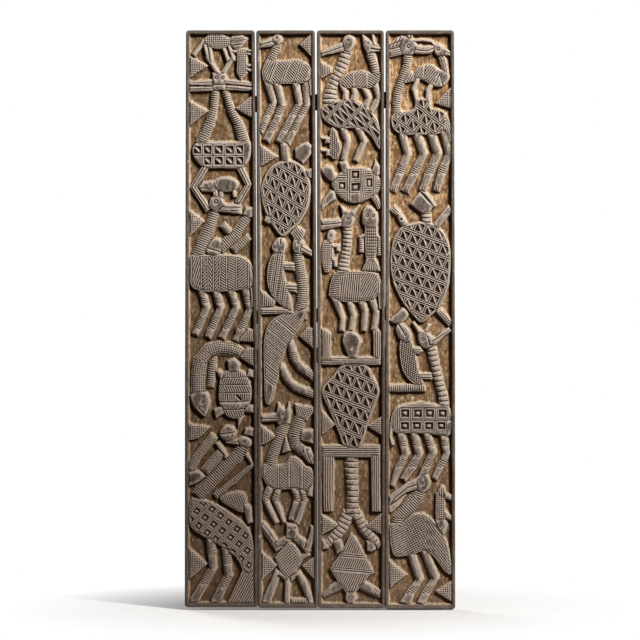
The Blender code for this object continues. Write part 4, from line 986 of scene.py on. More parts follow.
def board_1_cuts():
    columns = ((25, 48), (56, 78), (88, 112), (121, 145), (153, 174))
    upper = [(left, right, 1362, 1386) for left, right in columns]
    lower = [(left, right, 1329, 1353) for left, right in columns[1:]]
    frames = [line((u, 1324), (u, 1391), width=2.2, depth=1.2) for u in (52, 83, 117, 149, 178)]
    cuts = {
        "top_lizard": cross(6.3),
        "top_lizard_head": cuts_of(line((131, 1700), (186, 1706)), hatch(9, 8, 0.8)),
        "twin_heads": cuts_of(eye(94, 1592, 5), eye(113, 1591, 5), line((82, 1570), (122, 1570))),
        "twin_left_beak": cuts_of(
            line((11, 1566), (84, 1566), width=6, depth=5), hatch(6.3, 3, 0.8)
        ),
        "twin_right_beak": cuts_of(
            line((120, 1571), (205, 1563), width=5, depth=4), hatch(6.3, -5, 0.8)
        ),
        "twin_left_neck": rings(6.6, 2.2),
        "twin_right_neck": rings(6.6, 2.2),
        "twin_body": cuts_of(
            chipped(upper + lower), *frames, line((26, 1357), (178, 1357), width=2.4, depth=1.4)
        ),
        "twin_left_leg": cuts_of(lengthwise(9, 1.8), panes(hatch(6.3, 50), (0, 60, 1272, 1292))),
        "twin_right_leg": cuts_of(
            lengthwise(9, 1.8), panes(hatch(6.3, -50), (150, 200, 1236, 1256))
        ),
        "side_lizard": cross(6.3),
        "pig": line((90, 1262), (96, 1284), width=2.4),
        "pig_head": cuts_of(line((40, 1258), (62, 1260)), eye(74, 1272, 3)),
        "long_neck_head": eye(93, 1220, 6.5),
        "long_neck_snout": cuts_of(
            line((112, 1203), (167, 1202), width=4, depth=3), hatch(6.5, 0, 0.7)
        ),
        "long_neck": rings(6.6, 2.2),
        "long_neck_body": cuts_of(
            panels(
                (18, 48, 68, 84, 104, 124, 153, 190), 950, 1058, (72, 50, -60, 55, -35, -28, 40)
            ),
            border_line(4.5),
        ),
        "right_lizard": rings(6.4, 2.0),
        "right_lizard_arm_1": rings(6.5, 1.8),
        "right_lizard_arm_2": rings(6.5, 1.8),
        "right_lizard_head": line((66, 1080), (106, 1068), width=3.6, depth=3),
        "curled_lizard": scales(6.6),
        "curled_lizard_head": cuts_of(line((42, 600), (58, 580), width=4), eye(54, 617, 4.5)),
        "curled_lizard_arm": rings(6.5, 1.6),
        "tortoise": cuts_of(
            *[
                line((98, v), (200, v + 3), width=3.2, depth=2.4)
                for v in (594, 617, 644, 668, 690)
            ],
            panes(hatch(6.5, 90, 2.2), (104, 196, 620, 642), (108, 190, 694, 714)),
            panes(hatch(6.5, 112, 2.2), (104, 196, 646, 666), (112, 186, 566, 592)),
            panes(hatch(6.5, 68, 2.2), (108, 190, 670, 688)),
            panes(hatch(6.5, 0, 2.4), (88, 101, 580, 690)),
            hollow(straight((148, 640), (158, 639), (172, 627), (166, 620)), 9.0),
        ),
        "low_lizard_head": line((104, 521), (150, 527)),
        "low_lizard": scales(6.5),
        "low_lizard_belly": scales(6.4),
        "crane_head": eye(178, 499, 5),
        "crane_beak": line((121, 498), (160, 498), width=2.6),
        "crane_neck": rings(6.6, 2.2),
        "crane_arm": rings(6.5, 1.9),
        "pangolin": cross(6.5, 20),
        "crane_body": cuts_of(
            cross(6.4, -38), squares((60, 270), -38, 32, 19), border_line(4)
        ),
        "crane_tail": hatch(6.5, 62, 2.4),
        "crane_leg_1": panes(rings(6.3, 1.7), (0, 200, 70, 110), (0, 200, 158, 176)),
        "crane_leg_2": panes(rings(6.3, 1.7), (0, 200, 60, 96), (0, 200, 130, 160)),
    }
    for leg in range(1, 5):
        bands = ((0, 210, 836, 872), (0, 210, 914, 930))
        cuts[f"long_neck_leg_{leg}"] = panes(rings(6.3, 1.7), *bands)
    for number in range(1, 9):
        cuts[f"triangle_{number}"] = cross(6.5, 0)
    cuts["triangle_5"] = hatch(6.3, 90, 1.6)
    return cuts


def board_2_cuts():
    cuts = {
        "bird_head": eye(60, 1712, 4),
        "bird_beak": line((9, 1689), (58, 1704), width=3.2),
        "bird_neck": rings(6.5, 2.0),
        "bird_body": cuts_of(
            *[
                beyond(hatch(6.3, -48, 2.8), 70, start, start + 24)
                for start in (404, 441, 478)
            ],
            *[beyond(hatch(6.3, 70, 2.4), 70, start, start + 12.6) for start in (428, 465, 502)],
            beyond(hatch(6.5, 62, 1.8), 70, 514.6, 9e3),
            border_line(3.0),
        ),
        "tortoise": cuts_of(
            lattice((90, 1271), (-31, 37, 12.5, 2), (66, 30, 8.5, 1), 7.0, 8.0, 9.0),
            border_line(6),
        ),
        "triangle_3": hatch(6.3, 90, 1.6),
        "triangle_5": hatch(6.3, 0, 1.5),
        "triangle_6": hatch(6.3, 90, 1.5),
        "diver_crest": hatch(6.3, -55, 2.0),
        "diver_head": eye(124, 1098, 4.5),
        "diver_beak": line((132, 1084), (165, 1064), width=3.4),
        "diver_neck": rings(6.4, 2.3),
        "diver_body": cuts_of(
            *[
                beyond(hatch(6.3, -40, 2.6), -40, start, start + 13)
                for start in (698, 659, 626, 595, 566, 540)
            ],
            beyond(cross(6.3, -40), -40, 400, 500),
            *[
                beyond(hatch(6.3, 44, 1.9), -40, low, high)
                for low, high in (
                    (713, 745), (674, 697), (641, 658), (610, 625), (581, 594), (555, 566)
                )
            ],
            border_line(3.6),
        ),
        "diver_leg_1": cuts_of(
            panes(rings(6.3, 1.8), (98, 122, 740, 768)), panes(lengthwise(7), (150, 180, 680, 720))
        ),
        "diver_leg_2": cuts_of(
            panes(rings(6.3, 1.8), (82, 100, 660, 684)), panes(lengthwise(7), (150, 180, 620, 670))
        ),
        "lizard_head": cuts_of(
            eye(54, 1083, 5),
            hollow(straight((69, 1090), (73, 1090), (74, 1108), (70, 1108)), 4.0, 1.5),
        ),
        "lizard": cuts_of(cross(6.3, 82), hatch(15.6, 82, 2.0, 3.0, 0.25)),
        "lizard_arm_1": lengthwise(8.4, 3.0, 1.0, 0.5),
        "lizard_arm_2": lengthwise(9.4, 3.0, 1.0, 0.5),
        "cross_bar": hatch(7, -1, 1.0),
        "antelope_head": cuts_of(line((12, 567), (62, 568), width=3.4), eye(78, 582, 4)),
        "antelope_neck": rings(6.3, 2.1),
        "antelope_body": cuts_of(
            *[line((u, 350), (u, 455), width=2.6, depth=1.8) for u in (62, 68, 92, 100, 128, 140)],
            panes(cross(6.3, 40, 2.4), (24, 60, 360, 428), (102, 126, 360, 450)),
            panes(hatch(6.3, -40, 1.5), (70, 90, 358, 436), (142, 168, 356, 420)),
            border_line(3.6),
        ),
        "stork_shoulder": cross(6.3, 20),
        "stork_neck": rings(6.5, 2.2),
        "stork_head": cuts_of(line((150, 468), (165, 430), width=3.4), eye(152, 474, 4)),
        "spread_head": cuts_of(eye(96, 240, 3.4), eye(113, 240, 3.4)),
        "spread_left_arm": lengthwise(11, 0.6),
        "spread_body": cross(6.8, 40),
        "spread_right_side": rings(6.3, 1.8),
        "spread_mat": hatch(6.3, 90, 1.6, 1.5),
        "tortoise_leg_1": hatch(6.5, 90, 1.4),
    }
    for leg in range(1, 5):
        bands = ((0, 180, 1478, 1506), (0, 180, 1430, 1456))
        cuts[f"bird_leg_{leg}"] = panes(rings(6.3, 1.8), *bands)
        cuts[f"antelope_leg_{leg}"] = panes(rings(6.3, 1.7), (0, 180, 318, 342))
    for number in (1, 2, 4, 7, 8):
        cuts[f"triangle_{number}"] = cross(6.5, 0)
    return cuts


def board_3_cuts():
    pits = ((101, 125, 1288, 1312), (101, 128, 1250, 1275))
    pits += ((62, 84, 1255, 1278), (146, 165, 1262, 1289))
    plain = ((50, 88, 1216, 1250), (50, 88, 1284, 1322), (144, 166, 1216, 1256))
    plain += ((98, 128, 1278, 1284), (144, 166, 1294, 1322), (178, 196, 1230, 1310))
    cuts = {
        "bird_head": eye(92, 1702, 4),
        "bird_beak": line((10, 1661), (82, 1686), width=3.4),
        "bird_neck": rings(14.5, 3.2, 0.0, 0.24),
        "hound_head": cuts_of(
            eye(152, 1696, 3.6),
            line((160, 1679), (194, 1673), width=4.5, depth=5),
            line((162, 1692), (192, 1682), width=2.6),
        ),
        "hound_neck": rings(7.4, 1.2),
        "hound_body": cuts_of(
            panes(hatch(6.3, -48, 2.4), (70, 106, 1560, 1610)),
            panes(hatch(6.3, 48, 2.4), (110, 146, 1560, 1612)),
            panes(hatch(6.3, -32, 2.4), (150, 188, 1560, 1606)),
            border_line(3.2),
        ),
        "bird_body": cuts_of(
            lattice((100, 1470), (46, 52, 11, 2), (118, 21, 5, 1), 7.0, 6.0, 8.0), border_line(3.6)
        ),
        "triangle_3": cross(6.5, 0),
        "small_lizard": beads(6.3, 90, 1.8),
        "tortoise": cuts_of(
            boxed(pits, 6.0, 0.35),
            *[line((u, 1216), (u, 1322), width=2.4) for u in (90, 96, 130, 136, 142, 168, 175)],
            panes(hatch(6.5, 0, 1.4), *plain),
        ),
        "tortoise_leg_3": lengthwise(6.5, 2.0),
        "long_neck_head": eye(92, 1168, 4),
        "long_neck_beak": line((10, 1149), (76, 1156), width=3.6),
        "long_neck": rings(12.2, 3.0, 0.0, 0.28),
        "tall_lizard_head": cuts_of(eye(168, 1178, 5), eye(148, 1177, 4.5)),
        "tall_lizard": cuts_of(hatch(6.3, 90, 1.6), hatch(9, 0, 1.2)),
        "tall_lizard_arm_1": rings(6.3, 1.4),
        "tall_lizard_arm_2": rings(6.3, 1.4),
        "tall_lizard_fan": cuts_of(
            *[
                line((161 + k, 1046), (161 + 4 * k, 1012), width=2.4, depth=1.8)
                for k in range(-6, 7, 2)
            ]
        ),
        "little_lizard_head": eye(40, 1116, 3.4),
        "little_lizard": cross(6.3, 0),
        "long_neck_body": cuts_of(
            border_line(4.0),
            border_line(9.8),
            panes(hatch(6.3, 8, 2.0), (34, 66, 905, 1028)),
            panes(hatch(6.3, 84, 2.0), (68, 128, 905, 1028)),
            panes(hatch(6.3, 62, 2.0), (130, 178, 905, 1028)),
        ),
        "cup_left": hatch(6.3, 90, 1.6, 2.0),
        "cup_base": hatch(6.3, 0, 1.5, 2.0),
        "cup_right": hatch(6.3, 90, 1.6, 2.0),
        "great_shell": cuts_of(
            lattice((100, 614), (-21, 42, 13, 2), (70, 31, 7, 1), 7.5, 6.0, 13.0), border_line(4)
        ),
        "gate_top": hatch(6.6, 0, 1.8, 2.0),
        "gate_left": hatch(6.8, 90, 1.8, 2.0),
        "gate_right": hatch(6.4, 90, 1.8, 2.0),
        "trunk": rings(17.5, 3.4, 0.0, 0.2),
        "left_root": rings(14, 3.2, 0.0, 0.26),
        "right_root": rings(14, 1.6, 0.0, 0.26),
        "diamond": cuts_of(
            *[
                beyond(hatch(6.3, 66, 2.2, 6.0), -5, low, high)
                for low, high in ((172, 9e3), (128, 156), (-9e3, 112))
            ],
            *[line((30, v + 6), (176, v - 7), width=3.0, depth=2.2) for v in (159, 153, 117, 111)],
            border_line(4.5),
        ),
        "diamond_leg_1": panes(rings(6.3, 1.6), (168, 200, 30, 70)),
        "diamond_leg_2": panes(rings(6.3, 1.6), (0, 36, 30, 70)),
    }
    for number in (1, 2):
        cuts[f"triangle_{number}"] = hatch(6.3, 90, 1.8, 3.0)
    for number in (4, 5):
        cuts[f"triangle_{number}"] = cross(6.3, 0)
    return cuts


def board_4_cuts():
    cuts = {
        "horned_head": eye(70, 1686, 6),
        "horned_topknot": eye(70, 1715, 8),
        "horned_upper_jaw": cuts_of(hatch(8, 62, 2.6), hatch(14, 22, 1.5)),
        "horned_lower_jaw": hatch(6.5, 14, 1.5),
        "horn": line((84, 1677), (104, 1672), (126, 1673), (147, 1681), width=3.4),
        "bird_head": eye(158, 1678, 6),
        "bird_beak": line((176, 1672), (198, 1662), width=3),
        "bird_neck": cuts_of(hatch(6.5, -50, 1.2), lengthwise(8, 0.8)),
        "horned_neck": rings(6.5, 2.2),
        "bird_wing": hatch(6.3, 60, 1.8),
        "bird_body": cuts_of(
            panes(hatch(6.3, 52, 3.2), (86, 112, 1575, 1630), (118, 150, 1575, 1630)),
            line((114, 1580), (120, 1630), width=2.4),
            line((150, 1572), (162, 1602), width=2.6),
            line((172, 1568), (162, 1602), width=2.6),
        ),
        "horned_body": cuts_of(
            beyond(
                lattice((100, 1458), (-38, 36, 12, 2), (58, 31, 8.5, 1), 7.0, 5.0, 6.0), 90, -176
            ),
            beyond(cross(6.3, 30), 90, -9e3, -178),
            border_line(3.4),
        ),
        "tortoise_neck": rings(13, 1.8, 0.0, 0.4),
        "tortoise_leg_1": cuts_of(
            hollow(oval((47, 1166), (4.5, 4.0), 10), 7.0),
            panes(lengthwise(6.5, 2), (0, 40, 1185, 1215)),
        ),
        "tortoise_leg_2": panes(lengthwise(6.5, 2), (175, 210, 1180, 1215)),
        "tortoise": cuts_of(
            lattice((110, 1038), (-20.5, 37.5, 12.5, 2), (66, 32, 8.5, 1), 7.5, 6.5),
            border_line(5),
        ),
        "tortoise_foot_2": panes(lengthwise(6.3, 2.2), (160, 210, 840, 890)),
        "beaded_lizard_head": cuts_of(
            line((38, 852), (55, 825), width=4.5, depth=4), eye(60, 820, 4)
        ),
        "beaded_lizard": beads(6.6, 84, 2.0),
        "beaded_lizard_tail": hatch(6.5, 90, 2.2, 1.0),
        "beaded_lizard_arm_1": hatch(7, 0, 1.5),
        "beaded_lizard_arm_2": lengthwise(8, 2.4, 1.0, 0.5),
        "deer_head": eye(112, 806, 5),
        "deer_beak": line((140, 800), (196, 834), width=3.2),
        "deer_neck": rings(15.5, 3.2, 0.0, 0.24),
        "deer_body": cuts_of(
            boxed(
                [(left, left + 25, 571, 595) for left in (46, 84, 120, 158)]
                + [(left, left + 25, 534, 557) for left in (45, 81, 118, 155)]
            ),
            panes(hatch(6.3, 90, 1.6), (18, 40, 528, 602)),
            line((42, 564), (196, 563), width=2.4),
            panes(hatch(6.3, 0, 1.3), (44, 196, 598, 616)),
        ),
        "crane_head": eye(110, 374, 5),
        "crane_beak": line(
            (9, 303), (28, 330), (46, 344), (67, 361), (92, 370), width=3.6, depth=3.6
        ),
        "crane_neck": rings(6.5, 2.4),
        "crane_body": cuts_of(
            beyond(hatch(6.3, 28, 2.0), 90, -118, 9e3),
            beyond(hatch(6.3, -52, 1.6), 90, -9e3, -120),
            beyond(hatch(7.4, 118, 1.2), 90, -150, -60),
            border_line(5.0),
        ),
        "side_lizard_head": hatch(6.3, 90, 1.3),
        "side_lizard": cross(6.3, 0),
        "side_lizard_snout": line((160, 226), (178, 246), width=2.6),
        "tortoise_head": line((104, 1252), (135, 1217), width=8, depth=9),
    }
    for leg in range(1, 5):
        cuts[f"horned_leg_{leg}"] = cuts_of(
            panes(rings(6.3, 1.8), (0, 200, 1302, 1328)),
            panes(lengthwise(7, 2.2), (0, 200, 1240, 1266)),
        )
        cuts[f"deer_leg_{leg}"] = panes(rings(6.3, 1.7), (0, 200, 422, 446), (0, 200, 484, 502))
    for leg in (1, 2):
        cuts[f"crane_leg_{leg}"] = panes(rings(6.3, 1.8), (0, 200, 42, 66))
    for number in range(1, 4):
        cuts[f"triangle_{number}"] = cross(6.5, 0)
    return cuts


BOARDS = {
    "board_1": (BOARD_1_FIGURES, board_1_cuts()),
    "board_2": (BOARD_2_FIGURES, board_2_cuts()),
    "board_3": (BOARD_3_FIGURES, board_3_cuts()),
    "board_4": (BOARD_4_FIGURES, board_4_cuts()),
}

# Places where the wood is chipped pale, as (u, v, radius) on each board.
PALE_CHIPS = {
    "board_1": ((124, 1580, 4), (30, 1165, 6), (78, 953, 3), (10, 1340, 3)),
    "board_2": ((8, 215, 4), (5, 1652, 3), (62, 988, 3), (78, 700, 3)),
    "board_3": (
        (37, 1556, 5), (105, 1285, 4), (70, 873, 4), (103, 873, 3), (103, 775, 5), (70, 743, 4),
        (116, 282, 6), (12, 258, 3), (37, 1561, 4),
    ),
    "board_4": ((82, 631, 6), (50, 630, 4), (40, 622, 4), (33, 695, 3), (100, 1010, 3)),
}


# The relief of a plank.


class Plank:
    """A plank's sides, from the CAD node, and the fields of its front."""

    def __init__(self, name, seed):
        self.name, self.seed = name, seed
        self.low, self.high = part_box(name)
        self.front, self.back = self.low.y, self.high.y
        self.read_sides()
        columns = int(round((self.high.x - self.low.x) * 1000 / PITCH / COARSE)) * COARSE
        rows = int(round((self.high.z - self.low.z) * 1000 / PITCH / COARSE)) * COARSE
        share, rise = np.meshgrid(np.linspace(0, 1, columns + 1), np.linspace(0, 1, rows + 1))
        self.z = self.low.z + rise * (self.high.z - self.low.z)
        left, right = self.sides(self.z)
        self.x = left + share * (right - left)
        self.u = (self.x - self.middle) * 1000 + DRAWN_MIDDLE[name]
        self.v = DRAWN_HEIGHT - (self.high.z - self.z) * 1000
        self.carve()

    def read_sides(self):
        """The left and right side by height, from the node's corners behind the carving."""
        points = np.array([v.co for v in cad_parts[self.name].data.vertices])
        behind = points[:, 1] > self.front + (RELIEF + 2) / 1000
        points = points[behind & (points[:, 1] < self.back - BACK_ARRIS / 1000)]
        centre = (self.low.x + self.high.x) / 2
        self.chains = []
        for side in (points[:, 0] < centre, points[:, 0] > centre):
            chain = points[side]
            chain = chain[np.argsort(chain[:, 2])]
            self.chains.append((chain[:, 2], chain[:, 0]))
        near_foot = self.low.z + CORNER_RADIUS / 1000
        near_top = self.high.z - CORNER_RADIUS / 1000
        corners = [side for level in (near_foot, near_top) for side in self.sides(level)]
        self.middle = sum(corners) / 4

    def sides(self, z):
        return tuple(np.interp(z, *chain) for chain in self.chains)

    def edge_distances(self):
        """How far each point is from the plank's sides, its top and its foot."""
        left, right = self.sides(self.z)
        across = np.minimum(self.x - left, right - self.x) * 1000
        return across, (self.high.z - self.z) * 1000, (self.z - self.low.z) * 1000

    def carve(self):
        """Height above the sunk ground in millimetres, and the masks for the wood's colours."""
        u, v, seed = self.u, self.v, self.seed
        across, below_top, above_foot = self.edge_distances()
        wobble = layers(u, v, seed + 4, RIM_WOBBLE)
        rim = np.maximum.reduce([RIM_SIDE - across, RIM_TOP - below_top, RIM_FOOT - above_foot])
        rim = rim + wobble
        claim = wall(rim) * RELIEF
        height = claim - wall(rim) * RIM_FALL * np.clip(1 - rim / WORN_EDGE, 0, 1) ** 2
        cuts = self.raise_figures(claim, height)
        raised = np.clip(height / RELIEF, 0, 1)
        ground = 1 - rising(raised, 0.1, 0.6)
        tooled = layers(u, v, seed + 7, TOOL_MARKS)
        swell = layers(u, v, seed + 9, SWELL)
        height = height - cuts + ground * tooled + (1 - ground) * (swell - TOP_DROP)
        for out, radius in self.chips(*CHIP_HOLLOW):
            height = height - CHIP_DEPTH * np.clip(1 - out / radius, 0, 1)
        corner = np.minimum.reduce([across, below_top, above_foot]) + 0.5 * wobble
        corner = np.clip(corner, 0, ARRIS)
        height = height - (ARRIS - np.sqrt(ARRIS**2 - (ARRIS - corner) ** 2))
        self.height = np.minimum(height, RELIEF)
        self.masks = {"rim": wall(rim), "raised": raised}
        self.mask_wood(cuts)

    def raise_figures(self, claim, height):
        """Raises each figure where it stands above what is there, and gives the cuts in them."""
        u, v, seed = self.u, self.v, self.seed
        hand_u = layers(u, v, seed, HAND_WANDER_U, u)
        hand_v = layers(u, v, seed + 2, HAND_WANDER_V, v)
        cuts = np.zeros(u.shape)
        figures, carvings = BOARDS[self.name]
        for number, (name, outline) in enumerate(figures.items()):
            area = self.around(outline)
            spot = Spot(outline, hand_u[area], hand_v[area])
            trim, fall, roundness = BODY_SHAPE
            level = RELIEF - LEVEL_STEP * (number % 3)
            if outline.spine:
                trim, fall, roundness = (part * outline.half for part in LIMB_SHAPE)
                level -= LIMB_DROP
            rise = wall(spot.inside - trim)
            drop = fall * np.clip(1 - (spot.inside - trim) / roundness, 0, 1) ** 2
            cut = carvings[name](spot) if name in carvings else np.zeros(rise.shape)
            cut = cut * np.interp(cut, *DEEPENED)
            cut = cut * layers(spot.u, spot.v, seed + 6, CUT_UNEVEN, 1.0)
            own = rise * level > claim[area]
            cuts[area] = np.where(own, np.where(spot.inside > trim, cut, 0), cuts[area])
            height[area] = np.where(own, rise * (level - drop), height[area])
            claim[area] = np.maximum(rise * level, claim[area])
        return cuts

    def chips(self, ragged, size, draw):
        """For each pale chip, the distance from its ragged middle and its radius."""
        uneven = ragged * noise(self.u, self.v, size, self.seed + draw)
        for u, v, radius in PALE_CHIPS[self.name]:
            yield np.hypot(self.u - u, self.v - v) + uneven, radius

    def around(self, outline):
        """The block of the grid that an outline and its slope lie in."""
        us, vs = zip(*outline)
        reach = WALL_SLOPE + 3
        rows = np.nonzero((self.v[:, 0] > min(vs) - reach) & (self.v[:, 0] < max(vs) + reach))[0]
        near = (self.u[rows] > min(us) - reach) & (self.u[rows] < max(us) + reach)
        columns = np.nonzero(near.any(axis=0))[0]
        return slice(rows[0], rows[-1] + 1), slice(columns[0], columns[-1] + 1)

    def mask_wood(self, cuts):
        """Fields for the material: depth of cut, edges, painted shadow in the lee of higher ground
        up and right, dust with painted light beside higher ground down and left, and pale chips.
        """
        smoothed = blurred(self.height, max(1, int(round(EDGE_REACH / PITCH))))
        self.masks["cut"] = np.clip(cuts / FULL_CUT, 0, 1)
        self.masks["edge"] = np.clip((self.height - smoothed) / FULL_EDGE, -1, 1)
        # Painted shadow below and left of higher ground; dust and painted light above and right of
        # it.
        above = np.maximum.reduce([shifted(smoothed, over) for over in SHADOW_REACH])
        below = np.maximum.reduce([shifted(smoothed, -under) for under in LIT_SIDE_REACH])
        self.masks["lee_shadow"] = np.clip((above - self.height) / RELIEF, 0, 1)
        self.masks["dust_and_highlight"] = np.clip((below - np.maximum(above, self.height)) / RELIEF, 0, 1)
        chips = [rising(-out, -size, -0.4 * size) for out, size in self.chips(*CHIP_COLOUR)]
        self.masks["chip"] = np.maximum.reduce(chips)

    def sample(self, field, x, z):
        """A field at points of the front, between the grid's values."""
        rows, columns = field.shape
        left, right = self.sides(z)
        t = np.clip((z - self.low.z) / (self.high.z - self.low.z), 0, 1) * (rows - 1.001)
        s = np.clip((x - left) / np.maximum(right - left, 1e-6), 0, 1) * (columns - 1.001)
        row, column = t.astype(int), s.astype(int)
        t, s = t - row, s - column
        low = field[row, column] * (1 - s) + field[row, column + 1] * s
        high = field[row + 1, column] * (1 - s) + field[row + 1, column + 1] * s
        return low * (1 - t) + high * t


def wall(inside):
    """0 on the ground to 1 inside the outline, down a slope that flattens at its foot."""
    return rising(inside, -WALL_SLOPE, 0.0) ** 1.2


def shifted(field, over):
    """The field as it is so many millimetres to the right and up of each point."""
    cells = int(round(over / PITCH))
    rows = np.clip(np.arange(field.shape[0]) + cells, 0, field.shape[0] - 1)
    columns = np.clip(np.arange(field.shape[1]) + cells, 0, field.shape[1] - 1)
    return field[rows][:, columns]


# Meshes.


def grid_faces(first, rows, columns):
    """Quads of a grid whose points are numbered row by row from first."""
    corner = first + np.arange(rows)[:, None] * (columns + 1) + np.arange(columns)
    corner = corner.reshape(-1)
    return np.stack([corner, corner + 1, corner + columns + 2, corner + columns + 1], axis=1)


def ring_of(first, rows, columns):
    """A grid's border, anticlockwise from its lower left corner."""
    index = first + np.arange((rows + 1) * (columns + 1)).reshape(rows + 1, columns + 1)
    parts = [index[0, :-1], index[:-1, -1], index[-1, :0:-1], index[:0:-1, 0]]
    return np.concatenate(parts)


def bridge(fine, coarse):
    """Triangles between a ring and one with a COARSE-th as many points."""
    faces = []
    count = len(coarse)
    half = COARSE // 2
    for k in range(count):
        start, end = coarse[k], coarse[(k + 1) % count]
        run = [fine[(k * COARSE + j) % len(fine)] for j in range(COARSE + 1)]
        faces += [(start, run[j + 1], run[j]) for j in range(half)]
        faces.append((start, end, run[half]))
        faces += [(end, run[j + 1], run[j]) for j in range(half, COARSE)]
    return np.array(faces)


def ring_quads(outer, inner):
    """Quads between two rings of as many points."""
    return np.stack([inner, np.roll(inner, -1), np.roll(outer, -1), outer], axis=1)


def mesh_from(name, points, quads, triangles):
    mesh = bpy.data.meshes.new(name)
    corners = np.concatenate([quads.reshape(-1), triangles.reshape(-1)]).astype(np.int32)
    sizes = np.concatenate([np.full(len(quads), 4), np.full(len(triangles), 3)])
    starts = np.concatenate([[0], np.cumsum(sizes)[:-1]]).astype(np.int32)
    mesh.vertices.add(len(points))
    mesh.vertices.foreach_set("co", points.astype(np.float32).reshape(-1))
    mesh.loops.add(len(corners))
    mesh.loops.foreach_set("vertex_index", corners)
    mesh.polygons.add(len(sizes))
    mesh.polygons.foreach_set("loop_start", starts)
    mesh.update(calc_edges=True)
    mesh.validate()
    return mesh


def side_rings(plank):
    """Rings of points down the plank's adzed sides, from behind its front arris to its back."""
    x, z = plank.x[::COARSE, ::COARSE], plank.z[::COARSE, ::COARSE]
    border = ring_of(0, x.shape[0] - 1, x.shape[1] - 1)
    foot, top = z.min(), z.max()
    x, z = x.reshape(-1)[border], z.reshape(-1)[border]
    centre = (plank.low + plank.high) / 2
    start, end = plank.front + (ARRIS + SIDE_START) / 1000, plank.back - SIDE_END / 1000
    for step in range(SIDE_STEPS):
        y = np.full(x.shape, start + (end - start) * step / (SIDE_STEPS - 1))
        wave = layers(z * 1000, y * 1000, plank.seed + 20, SIDE_WAVE, SIDE_DEPTH)
        pull = np.where(step in (0, SIDE_STEPS - 1), 0.25, 1.0) * wave / 1000
        pull_up = np.where((z <= foot) | (z >= top), pull, 0)
        side_x = x - np.sign(x - centre.x) * pull
        yield np.stack([side_x, y, z - np.sign(z - centre.z) * pull_up], axis=-1)


def adzed_back(plank, rows, columns):
    """Points of the back, a grid of shallow hollows."""
    left, right = plank.x[::COARSE, :1], plank.x[::COARSE, -1:]
    across = np.clip(np.linspace(0, 1, columns + 1), 0.008, 0.992)
    x = left + across * (right - left)
    up = np.clip(np.linspace(0, 1, rows + 1), 0.001, 0.999)[:, None]
    z = plank.low.z + up * (plank.high.z - plank.low.z) + 0 * x
    hollows = layers(x * 1000, z * 1000, plank.seed + 21, BACK_HOLLOWS, BACK_DEPTH)
    y = plank.back - np.maximum(hollows, 0) / 1000
    return np.stack([x, y, z], axis=-1).reshape(-1, 3)


def plank_mesh(plank):
    """The closed mesh of a plank: carved front, adzed sides and back."""
    rows, columns = plank.z.shape[0] - 1, plank.z.shape[1] - 1
    few_rows, few_columns = rows // COARSE, columns // COARSE
    depth = plank.front + (RELIEF - plank.height) / 1000
    points = [np.stack([plank.x, depth, plank.z], axis=-1).reshape(-1, 3)]
    quads = [grid_faces(0, rows, columns)]
    rings = [ring_of(0, rows, columns)]
    count = len(points[0])
    for ring in side_rings(plank):
        points.append(ring)
        rings.append(count + np.arange(len(ring)))
        count += len(ring)
    points.append(adzed_back(plank, few_rows, few_columns))
    quads += [ring_quads(outer, inner) for outer, inner in zip(rings[1:], rings[2:])]
    quads.append(grid_faces(count, few_rows, few_columns)[:, ::-1])
    quads.append(ring_quads(rings[-1], ring_of(count, few_rows, few_columns)))
    triangles = bridge(rings[0], rings[1])
    return mesh_from(plank.name, np.concatenate(points), np.concatenate(quads), triangles)


def thinned(mesh, most):
    """The mesh with its flat stretches simplified, down to so many triangles."""
    thing = bpy.data.objects.new("thinning", mesh)
    bpy.context.scene.collection.objects.link(thing)
    mesh.calc_loop_triangles()
    decimate = thing.modifiers.new("thin", "DECIMATE")
    decimate.ratio = min(1.0, most / len(mesh.loop_triangles))
    evaluated = thing.evaluated_get(bpy.context.evaluated_depsgraph_get())
    result = bpy.data.meshes.new_from_object(evaluated)
    bpy.data.objects.remove(thing)
    return result


def stand_in(node, ending, mesh, material):
    """The mesh as a piece on the root, in place of a CAD node."""
    mesh.name = node + ending
    mesh.materials.clear()
    mesh.materials.append(material)
    piece = bpy.data.objects.new(node + ending, mesh)
    bpy.context.scene.collection.objects.link(piece)
    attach(piece, "root")
    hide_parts(node)


def carved_plank(name, seed, material):
    """A plank with its relief, in place of the CAD node."""
    plank = Plank(name, seed)
    mesh = thinned(plank_mesh(plank), MOST_TRIANGLES)
    points = np.empty(len(mesh.vertices) * 3, np.float32)
    mesh.vertices.foreach_get("co", points)
    x, y, z = points.reshape(-1, 3).T.astype(float)
    behind = y > plank.front + (RELIEF + 2.5) / 1000
    for mask, field in plank.masks.items():
        store(mesh, mask, np.where(behind, 0.0, plank.sample(field, x, z)))
    into_wood = (y - plank.front) * 1000
    store(mesh, "unseen", rising(into_wood, *UNSEEN_FROM) * behind)
    mesh.polygons.foreach_set("use_smooth", np.ones(len(mesh.polygons), bool))
    stand_in(name, "_carved", mesh, material)


def store(mesh, name, values):
    attribute = mesh.attributes.new(name, "FLOAT", "POINT")
    attribute.data.foreach_set("value", values.astype(np.float32))


def bar_slant(name):
    """A batten's rise to the right as an angle, and its true length and height."""
    low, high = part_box(name)
    wide, tall = high.x - low.x, high.z - low.z
    corners = np.array([v.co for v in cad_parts[name].data.vertices])
    right_end = corners[corners[:, 0] > high.x - BAR_END / 1000]
    rise = math.atan2(right_end[:, 2].mean() - (low.z + high.z) / 2, wide / 2)
    length = (wide - tall * math.sin(rise)) / math.cos(rise)
    return rise, length, (tall - length * math.sin(rise)) / math.cos(rise)


